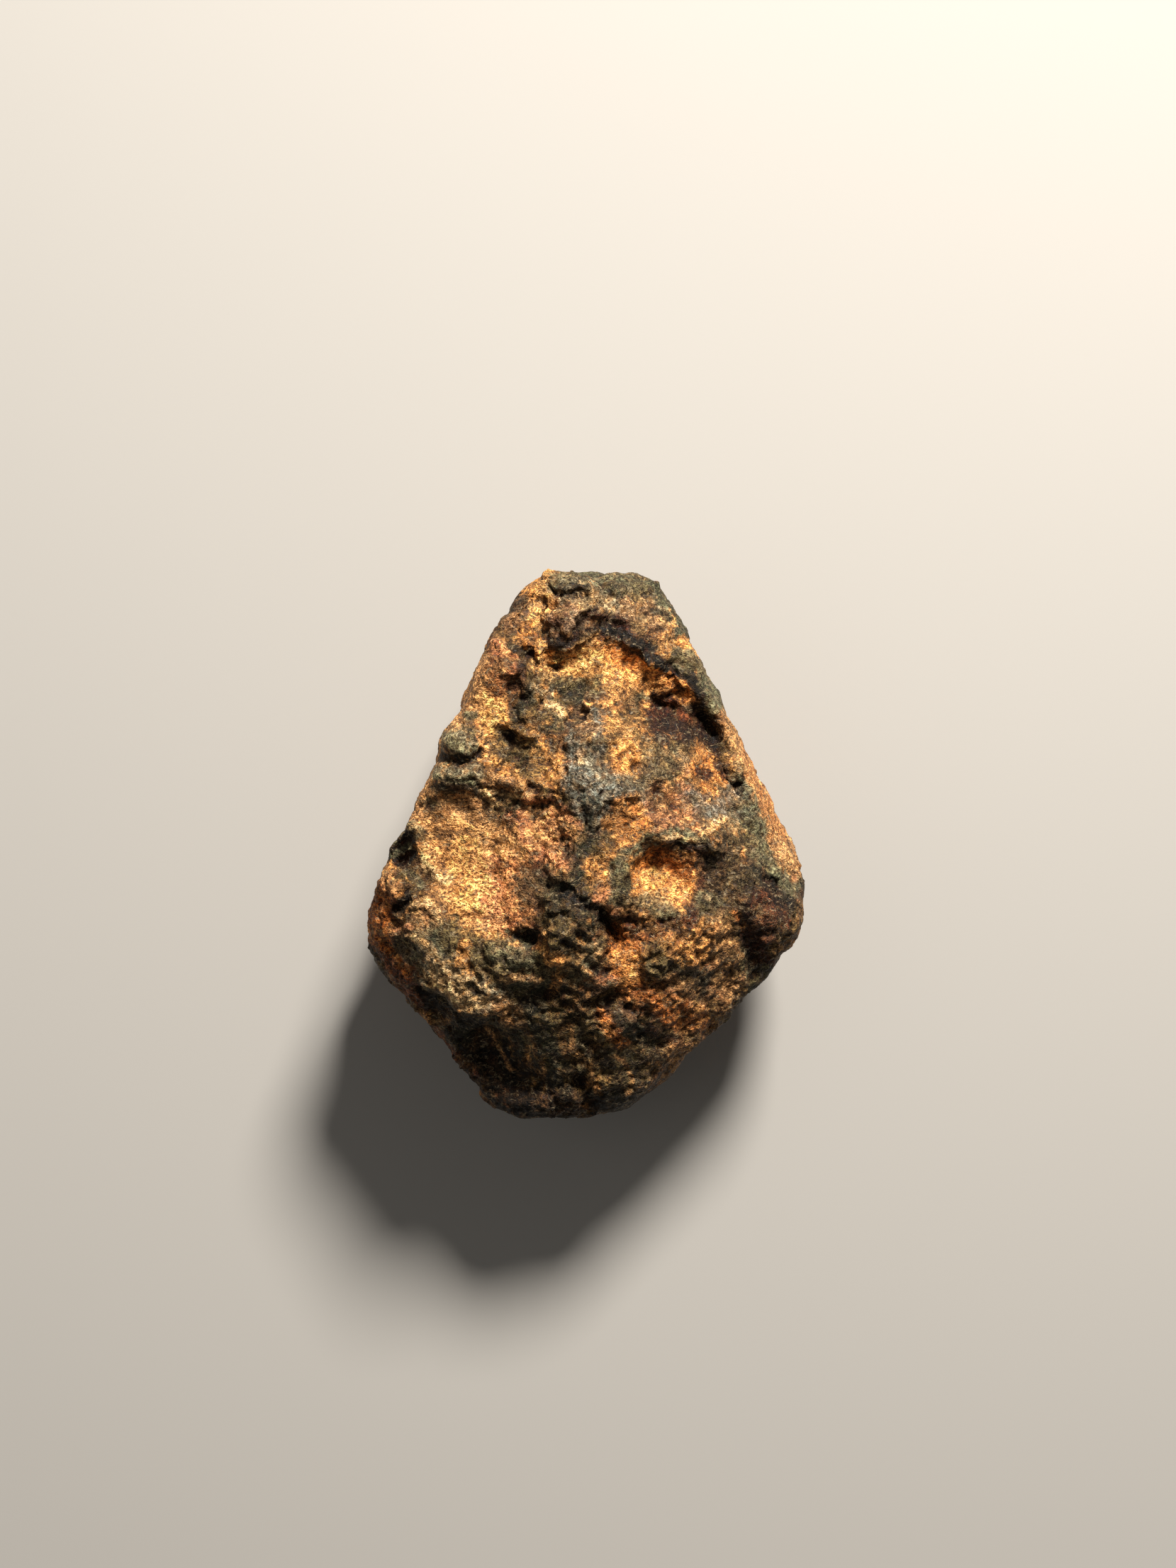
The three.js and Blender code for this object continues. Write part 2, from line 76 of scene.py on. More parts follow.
# Raised lines and knobs (over 0), grooves and pits (under 0) of the broad face.
# name, height, half width, line; one point makes it round
RELIEF = [
    ("tiny pit beside the cap", -0.2, 0.12, [(-1.34, 4.5), (-1.12, 4.33)]),
    ("dark streak on the lump", -0.16, 0.15, [(-1.72, 4.72), (-1.45, 4.52), (-1.3, 4.45)]),
    ("second streak on the lump", -0.14, 0.14, [(-1.38, 4.25), (-1.5, 3.98)]),
    ("pit under the lump", -0.14, 0.14, [(-1.68, 3.72), (-1.7, 3.6)]),
    ("brow of the lump", 0.1, 0.2, [(-2.05, 4.8), (-1.65, 4.75), (-1.2, 4.6)]),
    ("cheek of the lump", 0.12, 0.42, [(-1.75, 4.3)]),
    ("knob beside the cap", 0.09, 0.55, [(-1.7, 5.55)]),
    ("ochre channel", -0.14, 0.3, [(-0.95, 6.3), (-0.98, 5.7), (-1.3, 5.2), (-1.6, 4.98)]),
    ("swelling of the cap", 0.09, 0.5, [(-0.35, 5.4), (0.2, 5.8)]),
    ("tan swelling of the cap", 0.07, 0.4, [(1.2, 5.75), (1.7, 5.4)]),
    ("slate rim of the cap", 0.07, 0.2, [(1.75, 6.4), (2.15, 5.8), (2.45, 5.2)]),
    ("slate rim below the cap", 0.09, 0.2, [(2.35, 4.4), (2.75, 4.2), (3.1, 3.7), (3.15, 3.3)]),
    ("slate knob", 0.19, 0.42, [(-3.05, 2.55), (-2.85, 2.3)]),
    ("shadow under the slate knob", -0.19, 0.16, [(-3.35, 2.2), (-3.0, 2.02), (-2.6, 2.1)]),
    ("small knob over the slate knob", 0.1, 0.16, [(-2.72, 3.02)]),
    ("slate lump on the left edge", 0.14, 0.24, [(-3.35, 1.7), (-2.9, 1.6), (-2.55, 1.62)]),
    ("hollow under the slate lump", -0.15, 0.22, [(-3.2, 1.05), (-2.9, 1.0)]),
    ("long lump", 0.15, 0.26, [(-2.2, 1.55), (-1.85, 1.5), (-1.6, 1.4)]),
    ("cream ridge below the long lump", 0.09, 0.07, [(-2.4, 1.45), (-2.25, 1.1), (-2.08, 0.9)]),
    ("dark spot in the upper left", -0.1, 0.16, [(-1.6, 3.1), (-1.35, 3.35), (-1.15, 3.4)]),
    ("dark trough in the upper left", -0.1, 0.14, [(-1.95, 2.6), (-1.75, 2.5), (-1.55, 2.3)]),
    ("brown dimple", -0.14, 0.26, [(-0.9, 2.45), (-0.6, 2.45)]),
    ("groove left of the crest", -0.14, 0.15, [(-0.2, 4.0), (-0.25, 3.6), (-0.2, 3.1), (-0.35, 2.8)]),
    ("green dimple under the lip", -0.12, 0.22, [(0.2, 4.15)]),
    ("cream ridge in the upper left", 0.07, 0.12, [(-1.3, 3.5), (-0.8, 3.45), (-0.5, 3.1)]),
    ("crest", 0.07, 0.4, [(0.1, 2.6), (0.05, 1.6), (0.15, 0.8)]),
    ("crest's right arm", 0.07, 0.35, [(0.3, 1.6), (1.1, 1.3)]),
    ("groove right of the crest", -0.09, 0.14, [(-0.1, 1.2), (-0.05, 0.6), (0.0, 0.0), (-0.1, -0.5)]),
    ("red streak", -0.16, 0.09, [(1.62, 1.25), (1.8, 1.08), (2.1, 0.85), (2.3, 0.55)]),
    ("dark hollow, upper", -0.22, 0.34, [(1.7, 3.3), (2.3, 2.95), (2.9, 2.7)]),
    ("dark hollow, right", -0.26, 0.26, [(2.9, 3.1), (3.2, 2.6), (3.1, 2.35)]),
    ("dark hollow, spot", -0.19, 0.2, [(2.65, 3.4)]),
    ("spur in the dark hollow", 0.09, 0.1, [(2.2, 3.1), (2.6, 2.85), (2.9, 2.95)]),
    ("brown pits on the right, one", -0.16, 0.13, [(2.7, 1.85), (2.95, 1.7)]),
    ("brown pits on the right, two", -0.16, 0.12, [(3.15, 1.95), (3.4, 1.6)]),
    ("brown pits on the right, three", -0.14, 0.1, [(3.5, 1.42), (3.7, 1.4)]),
    ("round pit", 0.05, 0.6, [(1.9, -0.75)]),
    ("dark side of the round pit", -0.1, 0.36, [(2.9, -0.5), (3.0, -0.9)]),
    ("shelf of the round pit", 0.1, 0.2, [(1.0, -1.35), (1.5, -1.2), (1.9, -1.4)]),
    ("notch", -0.27, 0.14, [(0.3, -1.35), (0.42, -1.75), (0.68, -2.15)]),
    ("ridge beside the notch", 0.09, 0.12, [(0.55, -1.2), (0.62, -1.6), (0.8, -1.75)]),
    ("crack of the lower middle", -0.2, 0.1, [(0.0, -2.68), (0.3, -2.82), (0.5, -2.92)]),
    ("slot", -0.28, 0.13, [(-1.6, -2.0), (-1.35, -2.1), (-1.12, -2.18)]),
    ("dark field of the middle, one", -0.14, 0.2, [(-0.95, -0.95), (-0.4, -1.0), (-0.15, -1.2)]),
    ("dark field of the middle, two", -0.12, 0.18, [(-0.8, -1.6), (-0.3, -1.5), (0.1, -1.3)]),
    ("glossy hole", -0.34, 0.17, [(-4.55, -0.02), (-4.2, 0.1)]),
    ("glossy hole's second arm", -0.26, 0.12, [(-4.5, -0.3), (-4.3, -0.4), (-4.05, -0.15)]),
    ("dark patch under the glossy hole", -0.19, 0.26, [(-3.95, -0.55), (-3.75, -0.7)]),
    ("dark gash on the left corner", -0.22, 0.15, [(-4.15, -1.15), (-4.4, -1.5)]),
    ("grey wall of the left corner", 0.09, 0.2, [(-4.6, 0.35), (-4.2, 0.45)]),
    ("pale ridges, one", 0.06, 0.09, [(-3.7, -0.35), (-3.3, -0.75)]),
    ("pale ridges, two", 0.07, 0.12, [(-4.0, -1.3), (-3.6, -1.45), (-3.45, -1.9)]),
    ("trough of the left field", -0.12, 0.2, [(-3.0, -1.75), (-2.4, -1.65), (-1.9, -1.75)]),
    ("grey hump of the lower left", 0.1, 0.45, [(-3.0, -3.35), (-2.4, -3.45)]),
    ("pit in the grey hump", -0.2, 0.12, [(-2.68, -3.25), (-2.55, -3.35)]),
    ("hump under the slot", 0.09, 0.35, [(-1.4, -2.45), (-0.9, -2.5)]),
    ("shelf of the lower middle", 0.09, 0.12, [(-1.1, -3.15), (-1.5, -2.95), (-1.9, -3.1)]),
    ("groove under the shelf", -0.14, 0.16, [(-1.9, -3.35), (-1.2, -3.3), (-0.7, -3.6)]),
    ("strand over the dark scoop, one", 0.1, 0.09,
     [(-2.35, -4.3), (-2.2, -4.75), (-1.95, -5.1), (-1.75, -5.3)]),
    ("strand over the dark scoop, two", 0.09, 0.08, [(-1.5, -4.2), (-1.15, -4.8), (-0.95, -5.4)]),
    ("dark scoop", -0.26, 0.8, [(-2.4, -4.9), (-1.7, -5.6)]),
    ("bar of the lower left", 0.12, 0.13, [(-3.85, -4.05), (-3.35, -4.12)]),
    ("slanted scoop", -0.15, 0.34, [(3.75, -1.75), (3.95, -2.2), (4.1, -2.7)]),
    ("ridge beside the slanted scoop", 0.09, 0.16, [(3.2, -2.0), (3.5, -2.5), (3.6, -3.0)]),
    ("dark corner", -0.19, 0.24, [(4.3, -0.85), (4.7, -1.2)]),
    ("slate tooth in the dark corner", 0.09, 0.1, [(4.35, -0.55), (4.55, -0.9)]),
    ("hollow of the lower middle, one", -0.16, 0.22, [(0.6, -3.7), (1.3, -3.95)]),
    ("hollow of the lower middle, two", -0.16, 0.22, [(1.3, -4.45), (1.8, -4.75)]),
    ("hollow of the lower middle, three", -0.15, 0.2, [(0.0, -4.4), (0.2, -4.9)]),
    ("hump of the lower middle", 0.09, 0.45, [(0.7, -4.35)]),
    ("rusty bed", -0.08, 0.5, [(0.9, -2.5), (1.2, -3.0)]),
    ("strand of the lower right", 0.07, 0.1, [(2.3, -3.6), (2.6, -3.9), (2.9, -3.95)]),
    ("long groove of the lower right", -0.12, 0.16, [(2.6, -3.0), (2.7, -3.5)]),
    ("strand of the blunt end", 0.09, 0.1, [(0.1, -5.2), (0.15, -5.8), (0.35, -6.2)]),
    ("dark groove of the blunt end", -0.16, 0.18, [(-0.2, -5.6), (0.1, -6.1), (0.3, -6.4)]),
]

# Nodules and bites on the stone's outline, in mm: name, height, radius, place
OUTLINE_RELIEF = [
    ("tooth of the cap, left", 0.14, 0.28, (-0.85, 6.5, 5.2)),
    ("notch of the cap, left", -0.12, 0.2, (-0.5, 6.5, 5.3)),
    ("tooth of the cap, middle", 0.1, 0.2, (-0.25, 6.5, 5.2)),
    ("tooth of the cap, right", 0.1, 0.22, (0.45, 6.5, 5.0)),
    ("corner of the cap", 0.19, 0.3, (1.7, 6.3, 4.4)),
    ("bite right of the cap", -0.12, 0.3, (2.0, 5.95, 4.0)),
    ("bite below the cap", -0.1, 0.3, (2.6, 4.8, 4.0)),
    ("bite at the lower left", -0.22, 0.4, (-2.7, -5.85, 3.0)),
    ("lobe at the lower left, one", 0.12, 0.35, (-2.1, -6.25, 3.0)),
    ("lobe at the lower left, two", 0.1, 0.3, (-1.4, -6.45, 3.0)),
    ("bite at the blunt end", -0.14, 0.25, (-1.1, -6.45, 3.0)),
    ("lobe at the blunt end", 0.1, 0.4, (-0.6, -6.55, 3.0)),
    ("bite at the lower right", -0.12, 0.3, (3.0, -4.5, 3.1)),
    ("lobe at the lower right", 0.09, 0.35, (3.5, -4.05, 3.1)),
    ("bite at the right corner", -0.09, 0.25, (5.2, -0.35, 3.2)),
    ("bite on the left flank", -0.1, 0.5, (-2.55, 4.1, 4.2)),
]

# Where the crust is fine and even instead of craggy: half width, line
EVEN_FIELDS = [
    (1.3, [(-3.0, 0.1), (-2.4, -0.4), (-2.3, -1.0)]),
    (0.7, [(1.7, -0.6), (2.1, -0.9)]),
    (0.5, [(3.9, 2.4), (4.4, 1.3), (4.9, 0.0)]),
    (0.35, [(0.9, -2.4), (1.0, -3.0)]),
    (0.35, [(1.8, 6.3), (2.2, 5.7), (2.5, 5.0), (2.9, 4.2), (3.2, 3.4)]),
    (0.4, [(-0.2, 4.3), (0.9, 4.4), (1.6, 3.9)]),
    (0.4, [(-2.3, 3.8), (-2.2, 3.0)]),
    (0.4, [(-2.6, 4.2), (-3.4, 2.6), (-3.9, 1.4)]),
]

# Where the crust stands in short ridges with pits between them: half width, line
RIDGED_FIELDS = [
    (1.1, [(-1.3, 4.0), (-0.5, 3.5), (-1.2, 2.7), (-1.6, 1.9)]),
    (0.5, [(-1.8, 4.5), (-1.8, 4.0)]),
    (0.8, [(-1.8, -2.6), (-0.6, -2.6), (-0.2, -3.6)]),
    (0.6, [(-0.5, 5.5), (0.4, 5.8), (1.3, 5.5)]),
    (0.6, [(0.4, 3.3), (1.2, 2.7), (2.1, 1.9)]),
    (0.55, [(1.9, 3.1), (2.5, 2.8), (3.0, 2.5)]),
    (0.7, [(-0.8, -1.2), (0.0, -1.9)]),
    (0.5, [(-3.9, 0.2), (-4.0, -0.8)]),
]

# The crust's colours, as they look in plain light: red, green and blue out of 255
COLOURS = {
    "gold": (212, 150, 81),
    "pale gold": (235, 181, 112),
    "orange": (204, 120, 48),
    "tan": (177, 134, 86),
    "clay": (150, 116, 82),
    "salmon": (193, 128, 86),
    "rust": (120, 65, 33),
    "umber": (79, 58, 35),
    "olive": (95, 81, 46),
    "slate": (98, 100, 75),
    "blue slate": (104, 111, 103),
    "pale slate": (147, 141, 116),
    "bottle": (36, 39, 26),
    "maroon": (52, 20, 10),
    "black": (10, 7, 5),
    "cream": (241, 205, 147),
}

# Strokes of colour on the broad face, laid one over another: colour, half width in mm, strength, line
STROKES = [
    # The cap
    ("pale slate", 0.7, 0.95, [(-0.6, 5.5), (0.2, 5.9), (1.2, 5.8)]),
    ("clay", 0.7, 0.4, [(-0.6, 5.5), (0.2, 5.9), (1.2, 5.8)]),
    ("umber", 0.4, 0.3, [(-0.8, 5.2), (-0.2, 5.5), (0.3, 5.5)]),
    ("rust", 0.2, 0.5, [(-0.7, 5.4), (-0.2, 5.6)]),
    ("tan", 0.4, 0.5, [(1.0, 5.7), (1.3, 5.3), (1.9, 5.1)]),
    ("umber", 0.3, 0.4, [(0.9, 5.8), (1.5, 5.6)]),
    ("rust", 0.5, 0.55, [(-1.8, 5.6), (-1.7, 5.2)]),
    ("umber", 0.22, 0.5, [(-1.5, 5.85), (-1.9, 5.6)]),
    ("gold", 0.32, 0.95, [(-0.9, 6.45), (-1.3, 6.15), (-1.0, 5.7), (-1.3, 5.25), (-1.7, 4.95)]),
    ("pale gold", 0.24, 0.9, [(-0.85, 6.4), (-1.0, 5.9), (-1.15, 5.4)]),
    ("slate", 0.34, 0.9, [(-0.5, 6.3), (0.0, 6.4), (0.6, 6.35), (1.3, 6.3), (1.8, 6.2)]),
    ("pale slate", 0.1, 0.6, [(-0.4, 6.15), (0.1, 6.2)]),
    ("bottle", 0.16, 0.6, [(0.3, 6.05), (0.9, 6.0)]),
    ("pale slate", 0.3, 0.8, [(0.1, 5.8), (0.55, 5.75)]),
    ("cream", 0.24, 0.4, [(0.0, 5.75), (0.4, 5.65)]),
    ("slate", 0.36, 1.0, [(1.75, 6.35), (2.1, 5.9), (2.4, 5.4), (2.55, 5.0)]),
    ("bottle", 0.3, 0.75, [(1.75, 6.35), (2.1, 5.9), (2.4, 5.4), (2.5, 5.1)]),
    ("bottle", 0.2, 0.4, [(0.0, 6.45), (0.8, 6.4), (1.5, 6.35)]),
    # Painted shadow along the inner edge of the slate rim
    ("bottle", 0.12, 0.8, [(1.6, 5.6), (1.95, 5.35)]),
    ("tan", 0.14, 0.5, [(1.2, 5.85), (1.6, 5.8)]),
    ("olive", 0.2, 0.5, [(1.2, 6.15), (1.5, 6.0)]),
    ("black", 0.1, 0.9, [(-0.65, 6.05), (-0.3, 6.02), (0.0, 6.05)]),
    # Painted shadow under the step in the cap
    ("maroon", 0.2, 0.9, [(0.15, 5.35), (0.6, 5.25), (0.85, 5.1)]),
    ("maroon", 0.3, 0.6, [(-0.9, 5.15), (-0.3, 5.05), (0.3, 5.25), (1.0, 5.15), (1.4, 4.95)]),
    # Under the lip
    ("gold", 0.22, 0.95, [(-1.85, 4.65), (-1.4, 4.75), (-1.1, 4.7)]),
    ("umber", 0.42, 0.9, [(-1.65, 5.55), (-1.85, 5.15)]),
    ("clay", 0.18, 0.7, [(-1.45, 5.45), (-1.7, 5.2)]),
    ("gold", 0.5, 0.95, [(-0.9, 4.5), (-0.3, 4.45), (0.4, 4.6), (1.1, 4.3), (1.6, 4.0), (2.3, 3.8)]),
    ("orange", 0.25, 0.6, [(-0.2, 4.7), (0.6, 4.7), (1.1, 4.45)]),
    ("umber", 0.25, 0.4, [(1.5, 3.9), (2.0, 3.7)]),
    ("orange", 0.25, 0.5, [(1.9, 4.1), (2.4, 3.8)]),
    # Painted shadow under the lip of the cap: maroon and black along its edge
    ("maroon", 0.16, 0.95,
     [(2.75, 3.7), (2.5, 3.95), (2.0, 4.25), (1.65, 4.5), (1.3, 4.8), (0.7, 4.98), (0.2, 4.95),
      (-0.3, 4.8), (-0.9, 4.9)]),
    ("black", 0.14, 1.0, [(2.75, 3.75), (2.1, 4.2), (1.75, 4.4), (1.35, 4.75), (0.9, 4.98), (0.4, 5.1)]),
    ("black", 0.1, 0.9, [(0.1, 4.95), (-0.3, 4.82), (-0.9, 4.92)]),
    ("gold", 0.22, 0.9, [(2.35, 4.75), (2.65, 4.65)]),
    ("slate", 0.26, 0.9, [(2.25, 4.45), (2.7, 4.3), (3.05, 3.8), (3.15, 3.4)]),
    ("bottle", 0.26, 0.4, [(2.5, 4.4), (2.8, 4.2), (3.1, 3.7)]),
    # Upper left
    ("gold", 0.5, 0.95, [(-2.3, 3.8), (-2.2, 3.0), (-2.2, 2.3), (-1.6, 2.1), (-0.9, 2.1)]),
    ("pale gold", 0.35, 0.5, [(-2.35, 3.7), (-2.25, 3.1), (-2.2, 2.4)]),
    ("tan", 0.4, 0.9, [(-2.3, 4.7), (-2.9, 3.5), (-3.6, 2.2), (-3.9, 1.4)]),
    ("umber", 0.55, 0.65, [(-1.8, 4.5), (-1.7, 4.0)]),
    ("salmon", 0.36, 0.65, [(-1.95, 4.6), (-1.75, 4.1)]),
    ("rust", 0.2, 0.6, [(-2.15, 4.3), (-2.2, 3.8), (-1.7, 3.7)]),
    ("bottle", 0.12, 0.9, [(-1.7, 4.7), (-1.35, 4.5)]),
    ("black", 0.13, 0.95, [(-1.22, 4.38)]),
    ("black", 0.12, 0.85, [(-1.4, 4.25), (-1.52, 3.98)]),
    ("pale gold", 0.3, 0.6, [(-0.9, 4.3), (-0.4, 4.4), (0.1, 4.6)]),
    ("olive", 0.25, 0.6, [(0.2, 4.2), (0.1, 3.8)]),
    ("tan", 0.35, 0.5, [(0.8, 3.9), (0.7, 3.3), (1.1, 2.7)]),
    ("gold", 0.2, 0.5, [(0.8, 3.9), (0.7, 3.3), (1.1, 2.7)]),
    ("slate", 0.2, 0.6, [(-0.9, 4.0), (-0.4, 3.9), (-0.2, 3.4)]),
    ("olive", 0.35, 0.6, [(-0.7, 3.2), (-1.3, 3.0), (-1.4, 2.6)]),
    ("bottle", 0.18, 0.85, [(-1.62, 3.05), (-1.3, 3.38)]),
    ("bottle", 0.16, 0.8, [(-2.0, 2.65), (-1.75, 2.5), (-1.5, 2.25)]),
    ("bottle", 0.14, 0.8, [(-1.0, 2.75), (-0.65, 2.75)]),
    ("bottle", 0.15, 0.8, [(-0.25, 3.6), (-0.2, 3.15)]),
    ("umber", 0.2, 0.7, [(-0.75, 2.5)]),
    ("umber", 0.16, 0.6, [(-1.45, 1.85), (-1.1, 1.8)]),
    ("olive", 0.3, 0.75, [(-2.0, 2.3), (-1.4, 2.2), (-1.2, 1.9)]),
    ("bottle", 0.12, 0.7, [(-1.9, 2.2), (-1.5, 2.1)]),
    ("slate", 0.2, 0.6, [(-0.9, 3.5), (-0.6, 3.0)]),
    ("cream", 0.12, 0.6, [(-0.95, 3.35), (-0.55, 3.2)]),
    ("bottle", 0.13, 0.8, [(-0.7, 3.75), (-0.4, 3.5)]),
    ("pale slate", 0.16, 0.6, [(-1.2, 3.65), (-0.8, 3.6)]),
    ("slate", 0.35, 0.95, [(-3.1, 2.6), (-2.8, 2.35)]),
    ("pale slate", 0.1, 0.6, [(-2.95, 2.72), (-2.7, 2.45)]),
    # Painted shadow under the slate knob
    ("black", 0.1, 0.9, [(-3.3, 2.15), (-3.0, 2.05), (-2.7, 2.12)]),
    ("slate", 0.14, 0.9, [(-2.72, 3.05)]),
    ("slate", 0.2, 0.9, [(-3.4, 1.75), (-2.9, 1.62), (-2.5, 1.65)]),
    ("pale slate", 0.09, 0.7, [(-3.4, 1.85), (-2.9, 1.75), (-2.55, 1.8)]),
    ("bottle", 0.26, 0.8, [(-3.25, 1.1), (-2.95, 0.85), (-3.35, 1.35)]),
    ("maroon", 0.09, 0.7, [(-3.0, 1.42), (-2.75, 1.45), (-2.5, 1.35)]),
    ("bottle", 0.16, 0.7, [(-2.5, 1.4), (-2.45, 1.15)]),
    # The crest and right of it
    ("blue slate", 0.45, 0.9, [(0.05, 2.8), (0.0, 2.1), (0.05, 1.4), (0.15, 0.8)]),
    ("blue slate", 0.4, 0.8, [(-0.25, 1.7), (0.5, 1.6), (1.2, 1.3)]),
    ("pale slate", 0.18, 0.6, [(0.05, 2.0), (0.35, 1.75)]),
    ("bottle", 0.16, 0.8, [(-0.1, 1.1), (0.2, 1.05)]),
    ("bottle", 0.2, 0.6, [(0.0, 0.6), (0.1, 0.2), (0.5, 0.1), (0.5, 0.45)]),
    ("umber", 0.3, 0.35, [(0.6, 3.5), (1.2, 3.2)]),
    ("olive", 0.3, 0.5, [(0.8, 2.7), (1.5, 2.9)]),
    ("gold", 0.35, 0.9, [(0.9, 2.1), (1.3, 2.15)]),
    ("tan", 0.25, 0.6, [(-0.1, 3.0), (0.1, 2.6)]),
    ("gold", 0.14, 0.8, [(1.3, 3.3), (1.3, 2.8)]),
    ("umber", 0.3, 0.4, [(0.95, 3.25), (1.4, 2.8)]),
    ("slate", 0.34, 0.7, [(1.6, 2.2), (2.3, 2.1), (1.6, 1.7)]),
    ("umber", 0.3, 0.5, [(1.5, 1.6), (2.2, 1.6), (1.9, 2.0)]),
    ("maroon", 0.45, 0.95, [(1.75, 3.2), (2.4, 2.95), (2.95, 2.75), (3.15, 2.5)]),
    ("maroon", 0.5, 0.8, [(1.8, 3.0), (2.4, 2.8), (3.0, 2.5)]),
    ("black", 0.3, 0.6, [(2.0, 2.9), (2.5, 2.7), (3.0, 2.45)]),
    # Painted shade on the right wall of the dark hollow
    ("black", 0.2, 0.9, [(2.9, 3.05), (3.2, 2.65), (3.15, 2.4)]),
    ("black", 0.15, 0.9, [(2.5, 3.35), (2.75, 3.4)]),
    ("rust", 0.14, 0.6, [(2.0, 3.3), (2.6, 2.95)]),
    ("gold", 0.4, 0.9, [(2.75, 1.9), (3.2, 1.5)]),
    ("orange", 0.3, 0.5, [(2.75, 1.9), (3.2, 1.5)]),
    ("maroon", 0.11, 0.95, [(2.65, 1.85), (2.95, 1.7)]),
    ("maroon", 0.1, 0.95, [(3.15, 1.95), (3.4, 1.62)]),
    ("gold", 0.18, 0.9, [(2.9, 1.3), (3.35, 1.2)]),
    ("bottle", 0.1, 0.8, [(3.45, 1.45), (3.7, 1.35)]),
    ("blue slate", 0.35, 0.85, [(2.6, 1.05), (3.1, 0.85), (3.6, 1.2)]),
    ("salmon", 0.5, 0.6, [(1.7, 0.9), (2.1, 0.7), (2.3, 0.55)]),
    ("umber", 0.4, 0.3, [(1.7, 0.9), (2.3, 0.6)]),
    ("rust", 0.1, 0.9, [(1.6, 1.25), (1.85, 1.05), (2.1, 0.85)]),
    ("gold", 0.35, 0.95, [(1.0, 0.8), (1.1, 0.4)]),
    ("orange", 0.3, 0.5, [(1.0, 0.8), (1.1, 0.4)]),
    ("gold", 0.2, 0.7, [(0.5, 0.55), (0.8, 0.3), (0.7, 0.1)]),
    ("cream", 0.16, 0.4, [(2.8, 0.4), (3.3, 0.7), (3.5, 0.4)]),
    ("bottle", 0.2, 0.7, [(3.2, 0.3), (3.4, 0.1)]),
    # The right flank
    ("olive", 0.3, 0.7, [(3.5, 2.4), (3.9, 2.1)]),
    ("slate", 0.4, 0.8, [(3.9, 2.0), (4.0, 1.4), (3.9, 0.6), (4.2, 0.0), (4.6, -0.5)]),
    ("tan", 0.45, 0.95, [(3.6, 2.9), (4.3, 1.8), (4.7, 0.6), (5.0, -0.3)]),
    ("umber", 0.3, 0.2, [(3.6, 2.9), (4.3, 1.8), (4.7, 0.6), (5.0, -0.3)]),
    ("orange", 0.3, 0.25, [(4.0, 2.2), (4.7, 0.4)]),
    # The left field
    ("gold", 1.0, 0.95, [(-3.2, -0.1), (-2.4, -0.3), (-2.3, -1.1)]),
    ("tan", 0.5, 0.8, [(-3.9, 0.5), (-3.4, 0.1), (-3.2, 0.7)]),
    ("pale gold", 0.9, 0.8, [(-2.9, -0.2), (-2.3, -0.5), (-2.2, -1.1)]),
    ("cream", 0.4, 0.25, [(-2.4, -0.4), (-2.3, -0.9)]),
    ("orange", 0.5, 0.35, [(-3.1, 0.1), (-2.8, -0.5), (-2.5, -1.2)]),
    ("tan", 0.4, 0.8, [(-2.7, 0.9), (-2.2, 0.4), (-1.9, 0.1)]),
    ("cream", 0.07, 0.9, [(-2.4, 1.45), (-2.25, 1.1), (-2.08, 0.9)]),
    ("cream", 0.08, 0.7, [(-2.2, 1.25), (-1.8, 1.15), (-1.2, 1.25)]),
    ("tan", 0.25, 0.9, [(-2.2, 1.6), (-1.8, 1.5), (-1.5, 1.4)]),
    ("umber", 0.12, 0.7, [(-2.0, 1.5), (-1.75, 1.45)]),
    ("umber", 0.24, 0.5, [(-2.9, 0.85), (-2.5, 0.65)]),
    ("umber", 0.12, 0.7, [(-2.95, 0.4), (-2.75, 0.3)]),
    ("bottle", 0.13, 0.6, [(-2.3, 0.8), (-2.1, 0.65)]),
    ("olive", 0.2, 0.7, [(-1.9, 0.85), (-1.3, 0.95)]),
    ("bottle", 0.2, 0.8, [(-1.8, 0.6), (-1.7, 0.85)]),
    ("salmon", 0.55, 1.0, [(-1.2, 0.6), (-0.7, 0.3), (-0.8, -0.2)]),
    ("pale gold", 0.4, 0.4, [(-1.2, 0.6), (-0.6, 0.3)]),
    ("salmon", 0.5, 0.95, [(-1.8, -0.6), (-1.5, -1.1), (-1.9, -1.5)]),
    ("gold", 0.4, 0.35, [(-1.6, -0.6), (-1.6, -1.4)]),
    ("rust", 0.2, 0.45, [(-1.9, -0.4), (-1.3, -0.3), (-0.9, -0.7)]),
    ("rust", 0.24, 0.45, [(-1.8, -1.75), (-1.3, -1.9)]),
    ("tan", 0.25, 0.6, [(-2.7, -1.7), (-2.2, -1.7)]),
    ("tan", 0.3, 0.7, [(-3.8, -1.7), (-3.4, -1.2), (-3.6, -0.2)]),
    ("umber", 0.18, 0.8, [(-3.35, 0.4), (-3.15, 0.3)]),
    ("slate", 0.3, 0.8, [(-4.7, 0.3), (-4.3, 0.4), (-4.0, 0.3)]),
    ("black", 0.2, 1.0, [(-4.55, -0.02), (-4.2, 0.12)]),
    ("black", 0.13, 1.0, [(-4.5, -0.3), (-4.3, -0.42), (-4.05, -0.18)]),
    ("slate", 0.1, 0.8, [(-4.55, -0.12), (-4.2, -0.05)]),
    ("black", 0.26, 0.85, [(-4.05, -0.45), (-3.75, -0.7), (-4.05, -0.85)]),
    ("slate", 0.08, 0.7, [(-4.1, -0.6), (-3.8, -0.85)]),
    ("black", 0.18, 0.9, [(-4.2, -1.15), (-4.4, -1.5)]),
    ("cream", 0.09, 0.8, [(-3.8, -0.3), (-3.5, -0.6), (-3.2, -0.8)]),
    ("cream", 0.08, 0.8, [(-4.05, -1.25), (-3.75, -1.2), (-3.5, -1.7)]),
    ("rust", 0.4, 0.8, [(-4.8, -0.9), (-5.0, -1.6), (-4.7, -2.4), (-4.2, -3.2)]),
